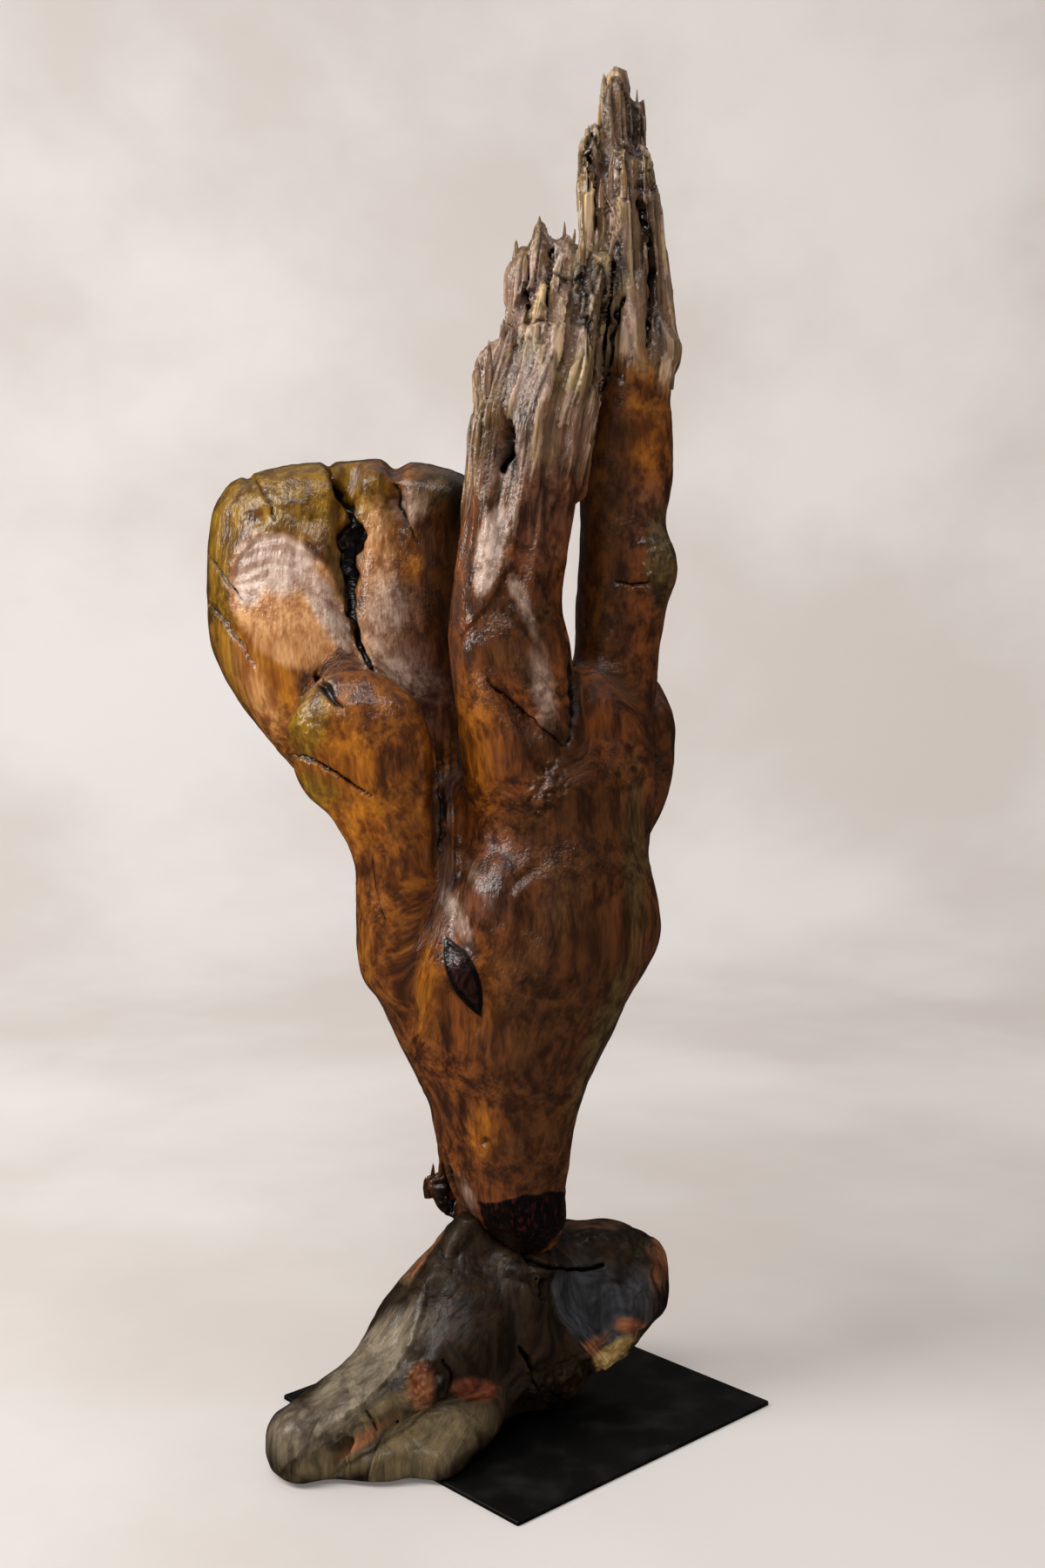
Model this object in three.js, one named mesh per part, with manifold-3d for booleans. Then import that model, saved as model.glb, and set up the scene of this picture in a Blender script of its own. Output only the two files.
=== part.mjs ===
// A driftwood sculpture: an antelope's bowed head on a root, over a square steel plate.
// Millimetres, +Z up. The origin is the middle of the plate's underside, and its sides lie along X and Y.
import * as THREE from 'three';
import { edgeTable, triTable } from 'three/addons/objects/MarchingCubes.js';
import { mergeVertices } from 'three/addons/utils/BufferGeometryUtils.js';
import Module from 'manifold-3d';

// Driving sizes
const PLATE_SIDE = 400;
const PLATE_THICKNESS = 5;
const PLATE_CORNER = 2; // radius of the flat outline's corners
const PLATE_EDGE = 0.8; // rounding of the plate's top and bottom edges
const CARVING_HEIGHT = 1310; // from the muzzle's sawn foot to the tallest horn splinter
const ROOT_LENGTH = 520; // from the tip of the long arm to the end of the short one
const SEAT_CLEARANCE = 1; // round the muzzle, where it is let into the root
const GAP = 0.4; // between pieces that rest on each other
const TURN = -43.4; // the carving and its root are turned on the plate, in degrees
const HEAD_TURN = 35; // the face looks this much further round, in degrees
const CARVING_CELL = 7.5; // the grid that the carving is worked out on, before its surface is thinned
const ROOT_CELL = 7;
const CARVING_TRIANGLES = 6500;
const ROOT_TRIANGLES = 2400;

// The carving's forms are written in shares of its own height, and the root's in shares of its own length.
// One share of either is 10 mm at the sizes above, and both count up from the floor.
const CARVING_SHARES = 131;
const ROOT_SHARES = 52;
const CARVING_FOOT = 20; // where the muzzle is sawn off flat
const ROOT_FOOT = 0.54; // where the root is sawn off flat
const SEAT_UP = 20; // the flat in the root that the muzzle stands on
const SEAT_MIDDLE = [-0.5, -3]; // across and deep, in either's shares
const carvingShare = CARVING_HEIGHT / CARVING_SHARES;
const rootShare = ROOT_LENGTH / ROOT_SHARES;
const rootUnderside = PLATE_THICKNESS + GAP;
const seatHeight = rootUnderside + (SEAT_UP - ROOT_FOOT) * rootShare;

const radians = THREE.MathUtils.degToRad;
const { clamp, lerp, smoothstep } = THREE.MathUtils;

// Two distances joined smoothly over a width k, and one cut smoothly out of another.
function blendUnion(a, b, k) {
  const h = Math.max(k - Math.abs(a - b), 0) / k;
  return Math.min(a, b) - h * h * k * 0.25;
}

function blendCut(a, b, k) {
  return -blendUnion(-a, b, k);
}

// All values at one place along a row of stations, on smooth curves through them.
function along(stations, t) {
  const last = stations.length - 1;
  let i = 0;
  while (i < last - 1 && t > stations[i + 1][0]) i++;
  const [a, b] = [stations[i], stations[i + 1]];
  const [before, after] = [stations[Math.max(i - 1, 0)], stations[Math.min(i + 2, last)]];
  const span = b[0] - a[0];
  const s = (t - a[0]) / span;
  return a.map((value, column) => {
    const into = ((b[column] - before[column]) / (b[0] - before[0])) * span;
    const out = ((after[column] - value) / (after[0] - a[0])) * span;
    return (2 * s ** 3 - 3 * s ** 2 + 1) * value + (s ** 3 - 2 * s ** 2 + s) * into
      + (3 * s ** 2 - 2 * s ** 3) * b[column] + (s ** 3 - s ** 2) * out;
  });
}

// A limb has oval sections along an axis. A station is [place on the axis, centre across, centre deep,
// half width, half depth, turn in degrees]. `square` above 2 flattens the sides, `cap` is how far the ends
// round out, and `relief` adds to the section's size by its angle and place.
function limb({ axis = [0, 0, 1], across = [1, 0, 0], square = 2, cap = 1, relief = null, stations }) {
  const STEPS = 160;
  const FAR = 7; // past this distance the limb's own box stands for it
  const w = new THREE.Vector3(...axis).normalize();
  const u = new THREE.Vector3(...across);
  u.addScaledVector(w, -w.dot(u)).normalize();
  const v = new THREE.Vector3().crossVectors(w, u);
  const first = stations[0][0];
  const last = stations[stations.length - 1][0];
  const rows = Array.from({ length: STEPS + 1 }, (_, i) => along(stations, lerp(first, last, i / STEPS)));
  const lowest = (column) => Math.min(...rows.map((row) => row[column] - Math.max(row[3], row[4])));
  const highest = (column) => Math.max(...rows.map((row) => row[column] + Math.max(row[3], row[4])));
  const [left, right, front, back] = [lowest(1), highest(1), lowest(2), highest(2)];
  return (x, y, z) => {
    const t = x * w.x + y * w.y + z * w.z;
    const side = x * u.x + y * u.y + z * u.z;
    const deep = x * v.x + y * v.y + z * v.z;
    const at = clamp(t, first, last);
    const beyond = t - at;
    const sideways = Math.max(left - side, side - right, 0);
    const away = Math.hypot(beyond, sideways, Math.max(front - deep, deep - back, 0));
    if (away > FAR) return away;
    const place = ((at - first) / (last - first)) * STEPS;
    const n = Math.min(Math.floor(place), STEPS - 1);
    const [, sideMiddle, deepMiddle, halfWidth, halfDepth, turn] = rows[n]
      .map((value, column) => lerp(value, rows[n + 1][column], place - n));
    const cos = Math.cos(radians(turn));
    const sin = Math.sin(radians(turn));
    const p = ((side - sideMiddle) * cos + (deep - deepMiddle) * sin) / halfWidth;
    const q = ((deep - deepMiddle) * cos - (side - sideMiddle) * sin) / halfDepth;
    const least = Math.min(halfWidth, halfDepth);
    const ring = (Math.abs(p) ** square + Math.abs(q) ** square) ** (1 / square);
    const size = Math.hypot(ring, beyond / (least * cap));
    const swell = relief ? relief(Math.atan2(q, p), at) : 0;
    return (size - 1) * least - swell;
  };
}

// A rounded lump, turned about its upright axis.
function lump([middleX, middleY, middleZ], [halfX, halfY, halfZ], turn = 0) {
  const cos = Math.cos(radians(turn));
  const sin = Math.sin(radians(turn));
  const least = Math.min(halfX, halfY, halfZ);
  return (x, y, z) => {
    const p = (x - middleX) * cos + (y - middleY) * sin;
    const q = (y - middleY) * cos - (x - middleX) * sin;
    return (Math.hypot(p / halfX, q / halfY, (z - middleZ) / halfZ) - 1) * least;
  };
}

// A furrow or a twig: a round bar of changing radius through points [x, y, z, radius].
function bar(points) {
  return (x, y, z) => {
    let nearest = Infinity;
    for (let i = 0; i + 1 < points.length; i++) {
      const [ax, ay, az, ar] = points[i];
      const [bx, by, bz, br] = points[i + 1];
      const [ex, ey, ez] = [bx - ax, by - ay, bz - az];
      const share = ((x - ax) * ex + (y - ay) * ey + (z - az) * ez) / (ex * ex + ey * ey + ez * ez);
      const s = clamp(share, 0, 1);
      const away = Math.hypot(x - ax - s * ex, y - ay - s * ey, z - az - s * ez);
      nearest = Math.min(nearest, away - lerp(ar, br, s));
    }
    return nearest;
  };
}

// Soft swells of the water-worn surface, from crossed waves that wander.
function swells(x, y, z, size, height) {
  const [a, b, c] = [x / size, y / size, z / size];
  const acrossWave = Math.sin(a + 1.7 * Math.sin(c * 0.6));
  const deepWave = Math.sin(b + 1.3 * Math.sin(a * 0.7 + 2));
  const upWave = Math.sin(c * 0.8 + 1.9 * Math.sin(b * 0.5 + 1));
  return height * acrossWave * deepWave * upWave;
}

// The carving, in its shares: +X to its right as it is seen, -Y to the front, +Z up.
const headAcross = [Math.cos(radians(HEAD_TURN)), Math.sin(radians(HEAD_TURN))];
const headOut = [headAcross[1], -headAcross[0]];

// A place by its distance to the side of the face, out of the face and up.
function onHead(side, out, up) {
  return [side * headAcross[0] + out * headOut[0], side * headAcross[1] + out * headOut[1], up];
}

// Ridges and furrows that run up a horn, deeper towards its broken top.
function hornFlutes(count, from, to, depth) {
  return (angle, up) => {
    const wander = 0.5 * Math.sin(up * 0.11 + count) + 0.22 * Math.sin(up * 0.31);
    const broad = Math.sin(angle * count + wander * 3);
    const narrow = 0.5 * Math.sin(angle * (count * 2 - 3) - wander * 4);
    return depth * (broad + narrow) * smoothstep(up, from, to);
  };
}

const head = limb({
  square: 2.3,
  stations: [
    [19.6, -0.2, -3.0, 2.3, 3.2, HEAD_TURN],
    [20.6, -0.1, -3.1, 3.0, 4.1, HEAD_TURN],
    [21.8, -0.3, -3.2, 3.8, 5.1, HEAD_TURN],
    [23.6, -1.0, -3.2, 4.9, 6.2, HEAD_TURN],
    [27, -2.4, -2.9, 5.8, 7.8, HEAD_TURN],
    [32, -2.6, -2.2, 6.5, 8.9, HEAD_TURN],
    [37, -2.6, -1.4, 7.5, 10.4, HEAD_TURN],
    [42, -2.4, -0.7, 9.2, 11.8, HEAD_TURN],
    [47, -1.3, -0.3, 11.1, 12.7, HEAD_TURN],
    [52, 0.5, 0, 12.2, 13.0, HEAD_TURN],
    [56, 2.0, 0.4, 12.2, 12.6, HEAD_TURN],
    [62, 2.4, 0.8, 10.7, 11.6, HEAD_TURN],
    [67, 2.6, 1.2, 10.3, 10.6, HEAD_TURN],
    [72, 3.2, 1.6, 9.8, 9.8, HEAD_TURN],
    [78, 4.0, 2.0, 8.0, 7.6, HEAD_TURN],
  ],
});

const leftEar = limb({
  square: 2.6,
  cap: 0.5,
  stations: [
    [38, -7.6, 1.5, 3.5, 5.5, 20],
    [43, -8.4, 1.2, 5.9, 7.5, 20],
    [47, -10.0, 0.8, 6.3, 8.6, 18],
    [50, -11.6, 0.4, 6.9, 9.2, 14],
    [52.5, -12.6, 0, 6.4, 8.8, 10],
    [56, -13.4, -0.8, 5.4, 7.6, 6],
    [60, -13.8, -1.8, 4.9, 6.2, 2],
    [65, -14.4, -3.2, 4.9, 5.0, -4],
    [69, -15.4, -4.4, 5.8, 4.4, -6],
    [71.5, -16.8, -5.0, 7.0, 4.2, -6],
    [75, -17.6, -5.4, 7.9, 4.2, -6],
    [79, -18.6, -5.6, 7.6, 4.2, -6],
    [82, -18.4, -5.4, 6.2, 3.8, -6],
    [83.6, -18.6, -5.2, 4.4, 3.0, -6],
  ],
});

const rightEar = limb({
  square: 2.3,
  cap: 0.6,
  stations: [
    [60, 9.6, 10.5, 3.2, 2.6, 110],
    [64, 11.0, 12.5, 4.0, 3.0, 110],
    [68, 12.4, 14.4, 5.2, 3.3, 110],
    [72, 13.4, 15.8, 6.6, 3.4, 110],
    [77, 13.9, 16.6, 7.2, 3.5, 110],
    [80, 13.7, 16.6, 6.4, 3.2, 110],
    [82.4, 13.2, 16.2, 4.6, 2.6, 110],
  ],
});

const neck = limb({
  square: 2.5,
  cap: 0.35,
  stations: [
    [54, -4.0, 5, 6.0, 8.0, 0],
    [62, -11.6, 6.5, 6.6, 9.5, 6],
    [68, -15.0, 7.5, 7.6, 10.0, 8],
    [72, -16.8, 8.2, 9.0, 10.4, 8],
    [76, -18.5, 9, 10.8, 10.8, 6],
    [81, -20.3, 10, 13.2, 11.2, 4],
    [87, -21.4, 11, 15.0, 11.6, 0],
    [92, -21.6, 11.5, 15.7, 11.6, 0],
    [97, -21.6, 11.8, 15.6, 11.2, 0],
    [101.5, -21.2, 12, 15.3, 10.4, 0],
    [105.6, -20.6, 12, 14.0, 9.2, 0],
  ],
});

const leftHorn = limb({
  square: 2.4,
  relief: hornFlutes(7, 88, 108, 0.42),
  stations: [
    [66, 1.2, -3.0, 5.0, 5.6, 20],
    [72, 0.2, -4.0, 6.0, 6.6, 20],
    [77.4, -0.6, -4.6, 6.1, 6.8, 20],
    [82, -1.2, -4.6, 6.5, 6.6, 18],
    [87, -1.7, -4.4, 6.6, 6.2, 15],
    [91.7, -2.1, -4.1, 6.1, 5.9, 12],
    [96.4, -1.6, -3.9, 5.9, 5.7, 10],
    [101, -1.0, -3.7, 5.8, 5.7, 10],
    [105.8, -0.3, -3.4, 6.1, 5.6, 8],
    [110.4, 0.3, -3.1, 6.3, 5.4, 6],
    [115, 1.2, -2.8, 5.9, 5.2, 4],
    [119.6, 2.6, -2.5, 5.5, 4.8, 2],
    [123.5, 3.4, -2.3, 5.2, 4.3, 0],
  ],
});

const rightHorn = limb({
  square: 2.4,
  relief: hornFlutes(6, 104, 120, 0.36),
  stations: [
    [64, 8.6, 3.4, 4.2, 5.2, 20],
    [70, 8.8, 3.8, 5.0, 6.0, 20],
    [76.8, 9.2, 4.0, 4.8, 5.8, 20],
    [82, 9.8, 4.0, 4.7, 5.6, 18],
    [87, 10.4, 4.0, 4.8, 5.3, 15],
    [92, 10.9, 4.0, 5.0, 5.2, 10],
    [97, 11.4, 4.0, 5.3, 5.2, 8],
    [101.5, 11.1, 4.0, 4.9, 5.0, 6],
    [106.5, 11.3, 3.9, 5.4, 5.2, 6],
    [111, 11.5, 3.8, 5.1, 5.0, 4],
    [116, 11.6, 3.7, 4.4, 4.6, 4],
    [121, 12.2, 3.6, 4.7, 4.4, 2],
    [125.6, 12.1, 3.6, 4.2, 4.1, 0],
    [130.4, 11.9, 3.6, 3.7, 3.7, 0],
    [135, 11.7, 3.6, 3.3, 3.4, 0],
    [140, 11.3, 3.6, 2.9, 3.0, 0],
  ],
});

// Splinters of the broken horns:
// [across at its foot, across at its tip, deep, foot, tip, half width, half depth, turn].
const SPLINTERS = [
  [-3.2, -3.8, -2.6, 104, 120.2, 1.8, 2.2, 10],
  [-0.9, -0.6, -2.4, 108, 130.6, 1.6, 2.4, 0],
  [1.5, 1.6, -2.2, 112, 133.2, 1.2, 2.2, -10],
  [3.4, 3.9, -2.6, 112, 132.0, 1.3, 2.0, 0],
  [5.0, 6.1, -2.6, 110, 131.0, 1.3, 2.2, 15],
  [5.4, 8.4, -2.4, 104, 129.8, 1.5, 2.2, -15],
  [3.6, 4.6, -4.2, 106, 126.4, 2.2, 1.4, 10],
  [-1.6, -0.8, -5.0, 102, 122.4, 1.9, 1.2, 10],
  [8.6, 6.9, 2.6, 118, 144.6, 1.6, 2.2, 10],
  [10.6, 10.2, 1.6, 118, 140.2, 1.8, 1.5, 0],
  [10.4, 9.9, 3.8, 128, 151.0, 1.8, 1.9, 0],
  [12.7, 12.7, 4.4, 128, 148.4, 0.8, 1.4, 0],
  [13.4, 13.4, 3.0, 114, 138.5, 1.3, 1.6, 0],
];

function splinter([foot, tip, deep, from, top, width, depth, turn]) {
  const SHOULDER = 0.85; // the share of its length at which it starts to narrow
  return limb({
    square: 3.2,
    cap: 0.4,
    stations: [
      [from, foot, deep, width * 0.8, depth * 0.8, turn],
      [lerp(from, top, SHOULDER), lerp(foot, tip, SHOULDER), deep, width, depth, turn],
      [top, tip + width * 0.2, deep, width * 0.5, depth * 0.5, turn],
    ],
  });
}

// Splits, shakes and folds that show from a step away, as points [across, deep, up, radius].
const FURROWS = {
  openSplitInNeck: [[-19.6, 4.0, 107.5, 1.2], [-20.2, 1.6, 102, 1.2], [-19.6, 0.8, 98.6, 1.9],
    [-20.2, 0.2, 94.0, 1.8], [-19.8, 0, 90, 1.1], [-18, 0, 86.4, 0.5]],
  shakeAtNeckCorner: [[-30.6, 7.0, 105.6, 0.6], [-29.6, 3.4, 102, 0.6], [-28.4, 2.4, 99, 0.3]],
  shakeBesideHorn: [[-15.4, 3.2, 105, 0.6], [-14.2, 2.0, 100, 0.6], [-12.4, 2.0, 97, 0.3]],
  foldBehindEar: [[-10.6, -3.6, 78, 1.0], [-9.6, -3.4, 72, 1.3], [-9.4, -5.2, 65, 1.1],
    [-9.6, -7.4, 60, 0.4]],
  foldUnderEar: [[-26.6, -7, 74.4, 0.6], [-21.6, -9.4, 73.2, 0.6], [-18.4, -9.4, 70.6, 0.3]],
  sweepAcrossLeftHorn: [[-6.6, -9.4, 93, 0.6], [-4.2, -11.0, 87, 1.5], [-1.2, -11.2, 82, 1.4],
    [3.2, -11.2, 76, 0.8]],
  shakeInLeftHorn: [[-2.2, -8.0, 112, 0.9], [-2.6, -8.8, 106, 1.0], [-3.2, -9.0, 101, 0.5]],
  shakeInRightHorn: [[8.9, 0.6, 141, 0.5], [9.0, -0.2, 131, 0.7], [8.6, -1.6, 120, 0.6]],
  shakeAtRightEdge: [[14.0, -0.4, 132, 0.5], [14.4, -0.8, 124, 0.6], [13.8, -0.8, 118, 0.3]],
  splitBehindMuzzle: [[-8.8, -1.8, 30, 0.5], [-8.6, -2.4, 27, 0.9], [-8.4, -2.8, 22.4, 0.8]],
};

// Lumps that stand out of the surface, as [place, half sizes].
const KNOTS = {
  leftBrow: [onHead(-7.6, 5.4, 59), [3.6, 4.2, 6.2]],
  rightBrow: [onHead(8.4, 5.4, 59), [3.2, 4.2, 5.6]],
  forehead: [onHead(0.6, 8.8, 63), [5.0, 3.4, 7]],
  ledgeOnRightHorn: [[14.6, 3.6, 120.0], [2.0, 2.6, 1.6]],
  knotOnRightHorn: [[14.4, 1.2, 96.2], [1.9, 2.4, 3.0]],
  knobLeftOnNeck: [[-27.5, 10, 103.6], [6.6, 6.4, 2.6]],
  knobMidNeck: [[-19.0, 9, 105.8], [5.4, 6.4, 2.4]],
  knobRightOnNeck: [[-10.4, 8, 104.6], [4.4, 6.0, 3.0]],
  knotBetweenHorns: [[3.6, -8.4, 72.4], [2.2, 1.8, 1.8]],
};
const TWIG = [[-7.6, -2.0, 22.8, 1.3], [-9.2, -1.2, 24.2, 1.1], [-10.4, -0.8, 26.6, 0.9]];

// The eyes lie at the sides of the face: an almond in a shallow dish, its lower end nearer the nose.
const EYE_UP = 51.4;
const EYE_SIDE = 11.1;
const EYE_OUT = 4.8;
const EYE_LEAN = 0.42;
const EYE_BALL = [1.9, 1.9, 4.2];
const EYE_DISH = [2.7, 2.3, 5.0];
const DISH_OUT = 1.3; // the dish's middle lies this far outside the eye's

function eyePart(side, out, size) {
  const [middleX, middleY] = onHead(side * (EYE_SIDE + out * 0.8), EYE_OUT + out * 0.6, EYE_UP);
  return (x, y, z) => {
    const drift = (z - EYE_UP) * EYE_LEAN * side;
    return lump([middleX + drift * headAcross[0], middleY + drift * headAcross[1], EYE_UP], size)(x, y, z);
  };
}

const furrows = Object.values(FURROWS).map(bar);
const knots = Object.values(KNOTS).map(([place, size]) => lump(place, size, HEAD_TURN));
const splinters = SPLINTERS.map(splinter);
const twig = bar(TWIG);
const eyes = [-1, 1].map((side) => eyePart(side, 0, EYE_BALL));
const eyeDishes = [-1, 1].map((side) => eyePart(side, DISH_OUT, EYE_DISH));

function carvingAt(x, y, z) {
  let horns = leftHorn(x, y, z);
  for (const part of splinters) horns = blendUnion(horns, part(x, y, z), 0.4);
  horns = blendUnion(horns, rightHorn(x, y, z), 0.8);
  let d = blendUnion(head(x, y, z), leftEar(x, y, z), 3.2);
  d = blendUnion(d, rightEar(x, y, z), 2.5);
  d = blendUnion(d, neck(x, y, z), 2.2);
  d = blendUnion(d, horns, 3.0);
  for (const knot of knots) d = blendUnion(d, knot(x, y, z), 2.5);
  d = blendUnion(d, twig(x, y, z), 0.8);
  for (const furrow of furrows) d = blendCut(d, furrow(x, y, z), 0.8);
  for (const dish of eyeDishes) d = blendCut(d, dish(x, y, z), 1.2);
  for (const eye of eyes) d = Math.min(d, eye(x, y, z));
  return d + swells(x, y, z, 4.5, 0.35);
}

// The root, in its shares and in the same frame.
const rootArm = limb({
  axis: [-0.81, -0.586, 0],
  across: [0.586, -0.81, 0],
  square: 2.3,
  cap: 0.7,
  stations: [
    [-4, 0, 9.5, 6.5, 8.0, 0],
    [4, -0.6, 10.0, 8.0, 8.6, 0],
    [10, -0.6, 10.0, 8.6, 8.9, 0],
    [15, -0.4, 8.2, 7.7, 7.8, 0],
    [20, 0, 5.6, 6.0, 5.8, 0],
    [26, 0.2, 4.1, 4.9, 4.6, 0],
    [30.6, 0.3, 3.4, 4.0, 3.7, 0],
  ],
});
const rootHeel = limb({
  axis: [-0.54, -0.84, 0],
  across: [0.84, -0.54, 0],
  cap: 0.7,
  stations: [
    [-3, 0, 5.0, 5.5, 5.2, 0],
    [6, 0.6, 4.4, 5.2, 4.8, 0],
    [13, 0.6, 3.4, 4.8, 4.0, 0],
    [21, 0, 2.0, 4.4, 2.6, 0],
  ],
});
const rootPeak = limb({
  square: 2.6,
  cap: 0.4,
  stations: [
    [3, -4.5, -3.5, 10.5, 7.5, 25],
    [9, -5.6, -3.6, 9.8, 6.8, 25],
    [14, -6.4, -3.6, 7.8, 5.6, 25],
    [18, -6.6, -3.8, 5.0, 4.4, 25],
    [21.4, -6.3, -4.2, 2.6, 2.8, 25],
    [23.6, -6.0, -4.4, 1.0, 1.4, 25],
  ],
});
const rootLobe = limb({
  axis: [1, 0, 0],
  across: [0, 0.36, 0.93],
  square: 2.5,
  cap: 0.5,
  stations: [
    [-2, 11.0, 2.0, 8.0, 6.0, 0],
    [4, 11.6, 2.4, 8.9, 6.0, 0],
    [8, 12.0, 2.6, 8.9, 5.6, 0],
    [11.6, 12.7, 2.8, 7.6, 4.8, 0],
    [14.2, 13.2, 2.8, 5.4, 3.8, 0],
    [15.4, 13.6, 2.8, 4.0, 2.8, 0],
  ],
});
const rootSaddle = lump([-0.4, -1.8, 13], [6.6, 7.6, 8.8]);
const rootToe = lump([-15.8, -16.7, 1.8], [5.6, 4.0, 3.0], -6);

// Hollows as [place, half sizes, turn], and furrows as points [across, deep, up, radius].
const ROOT_HOLLOWS = {
  faceOfShortArm: [[9.4, -7.6, 12.2], [6.4, 4.6, 5.8], 12],
  undercut: [[2.0, -10.5, 1.0], [5.5, 7.0, 4.6], 0],
};
const ROOT_FURROWS = {
  underMuzzle: [[-1.6, -8.4, 18.0, 0.6], [3.2, -6.8, 16.4, 1.0], [8.6, -4.8, 16.8, 0.9],
    [13, -3.4, 17.2, 0.5]],
  alongArm: [[-12.5, -14.6, 8.6, 0.6], [-17.4, -18.0, 5.6, 0.9], [-21.4, -20.6, 3.0, 0.6]],
  aboveHeel: [[-8.4, -12.6, 8.0, 0.6], [-13.4, -15.6, 5.6, 0.8], [-17.6, -18.2, 4.2, 0.7],
    [-20.4, -20.0, 1.6, 0.5]],
};
const hollows = Object.values(ROOT_HOLLOWS).map(([place, size, turn]) => lump(place, size, turn));
const rootFurrows = Object.values(ROOT_FURROWS).map(bar);

function rootAt(x, y, z) {
  let d = blendUnion(rootArm(x, y, z), rootPeak(x, y, z), 2.4);
  d = blendUnion(d, rootHeel(x, y, z), 1.8);
  d = blendUnion(d, rootToe(x, y, z), 1.4);
  d = blendUnion(d, rootLobe(x, y, z), 1.6);
  d = blendUnion(d, rootSaddle(x, y, z), 1.6);
  for (const hollow of hollows) d = blendCut(d, hollow(x, y, z), 1.2);
  for (const furrow of rootFurrows) d = blendCut(d, furrow(x, y, z), 0.6);
  return d + swells(x, y, z, 2.6, 0.5);
}

// The surface of a distance inside a box of shares, as a closed indexed mesh in millimetres.
function surfaceOf(distance, [low, high], share, cell) {
  const BLOCK = 4; // cells along a block, which is left out when it is far from the surface
  const SLOPE = 2.5; // the most that a distance here changes over its own length
  const NEAR_END = 0.02; // vertices keep off the ends of a cell's edges
  const size = cell / share;
  const counts = low.map((start, i) => Math.ceil((high[i] - start) / size / BLOCK) * BLOCK);
  const [nx, ny, nz] = counts.map((n) => n + 1);
  const field = new Float32Array(nx * ny * nz).fill(NaN);
  const value = (i, j, k) => {
    const n = i + nx * (j + ny * k);
    if (Number.isNaN(field[n])) {
      field[n] = distance(low[0] + i * size, low[1] + j * size, low[2] + k * size);
    }
    return field[n];
  };
  const floor = [[0, 0, 0], [1, 0, 0], [1, 1, 0], [0, 1, 0]];
  const corners = [...floor, ...floor.map(([a, b]) => [a, b, 1])];
  const ring = [0, 1, 2, 3];
  const edges = [
    ...ring.map((n) => [n, (n + 1) % 4]),
    ...ring.map((n) => [n + 4, (n + 1) % 4 + 4]),
    ...ring.map((n) => [n, n + 4]),
  ];
  const found = new Map();
  const places = [];
  const faces = [];
  const vertexOn = (i, j, k, edge) => {
    const [a, b] = edges[edge].map((corner) => corners[corner].map((offset, n) => offset + [i, j, k][n]));
    const start = a.map((n, axis) => Math.min(n, b[axis]));
    const run = a.findIndex((n, axis) => n !== b[axis]);
    const key = (start[0] + nx * (start[1] + ny * start[2])) * 3 + run;
    if (!found.has(key)) {
      const s = clamp(value(...a) / (value(...a) - value(...b)), NEAR_END, 1 - NEAR_END);
      found.set(key, places.length);
      places.push(a.map((n, axis) => (low[axis] + lerp(n, b[axis], s) * size) * share));
    }
    return found.get(key);
  };
  const addCell = (i, j, k) => {
    let kind = 0;
    corners.forEach(([a, b, c], n) => {
      if (value(i + a, j + b, k + c) < 0) kind += 2 ** n;
    });
    if (!edgeTable[kind]) return;
    for (let n = kind * 16; triTable[n] >= 0; n += 3) {
      faces.push([2, 1, 0].map((offset) => vertexOn(i, j, k, triTable[n + offset])));
    }
  };
  const reach = SLOPE * size * BLOCK * Math.sqrt(3) / 2;
  for (let i = 0; i < counts[0]; i += BLOCK) {
    for (let j = 0; j < counts[1]; j += BLOCK) {
      for (let k = 0; k < counts[2]; k += BLOCK) {
        const middle = [i, j, k].map((n, axis) => low[axis] + (n + BLOCK / 2) * size);
        if (Math.abs(distance(...middle)) > reach) continue;
        for (let n = 0; n < BLOCK ** 3; n++) {
          addCell(i + n % BLOCK, j + Math.floor(n / BLOCK) % BLOCK, k + Math.floor(n / BLOCK ** 2));
        }
      }
    }
  }
  return { places, faces };
}

// A small binary heap of [cost, ...] rows, cheapest first.
class Heap {
  rows = [];
  push(row) {
    const { rows } = this;
    let n = rows.push(row) - 1;
    while (n > 0) {
      const up = (n - 1) >> 1;
      if (rows[up][0] <= row[0]) break;
      rows[n] = rows[up];
      n = up;
    }
    rows[n] = row;
  }
  pop() {
    const { rows } = this;
    const top = rows[0];
    const row = rows.pop();
    if (!rows.length) return top;
    let n = 0;
    for (;;) {
      let child = 2 * n + 1;
      if (child >= rows.length) break;
      if (child + 1 < rows.length && rows[child + 1][0] < rows[child][0]) child++;
      if (rows[child][0] >= row[0]) break;
      rows[n] = rows[child];
      n = child;
    }
    rows[n] = row;
    return top;
  }
}

const minus = (a, b) => [a[0] - b[0], a[1] - b[1], a[2] - b[2]];
const dot = (a, b) => a[0] * b[0] + a[1] * b[1] + a[2] * b[2];
const cross = (a, b) => [a[1] * b[2] - a[2] * b[1], a[2] * b[0] - a[0] * b[2], a[0] * b[1] - a[1] * b[0]];
const normalOf = ([a, b, c]) => cross(minus(b, a), minus(c, a));

// A plane's squared distance as a symmetric matrix, and its value at a place.
function planeError(normal, offset, weight) {
  const row = [...normal, offset];
  return row.flatMap((a, i) => row.slice(i).map((b) => weight * a * b));
}

function errorAt(q, [x, y, z]) {
  return q[0] * x * x + 2 * q[1] * x * y + 2 * q[2] * x * z + 2 * q[3] * x
    + q[4] * y * y + 2 * q[5] * y * z + 2 * q[6] * y + q[7] * z * z + 2 * q[8] * z + q[9];
}

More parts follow.
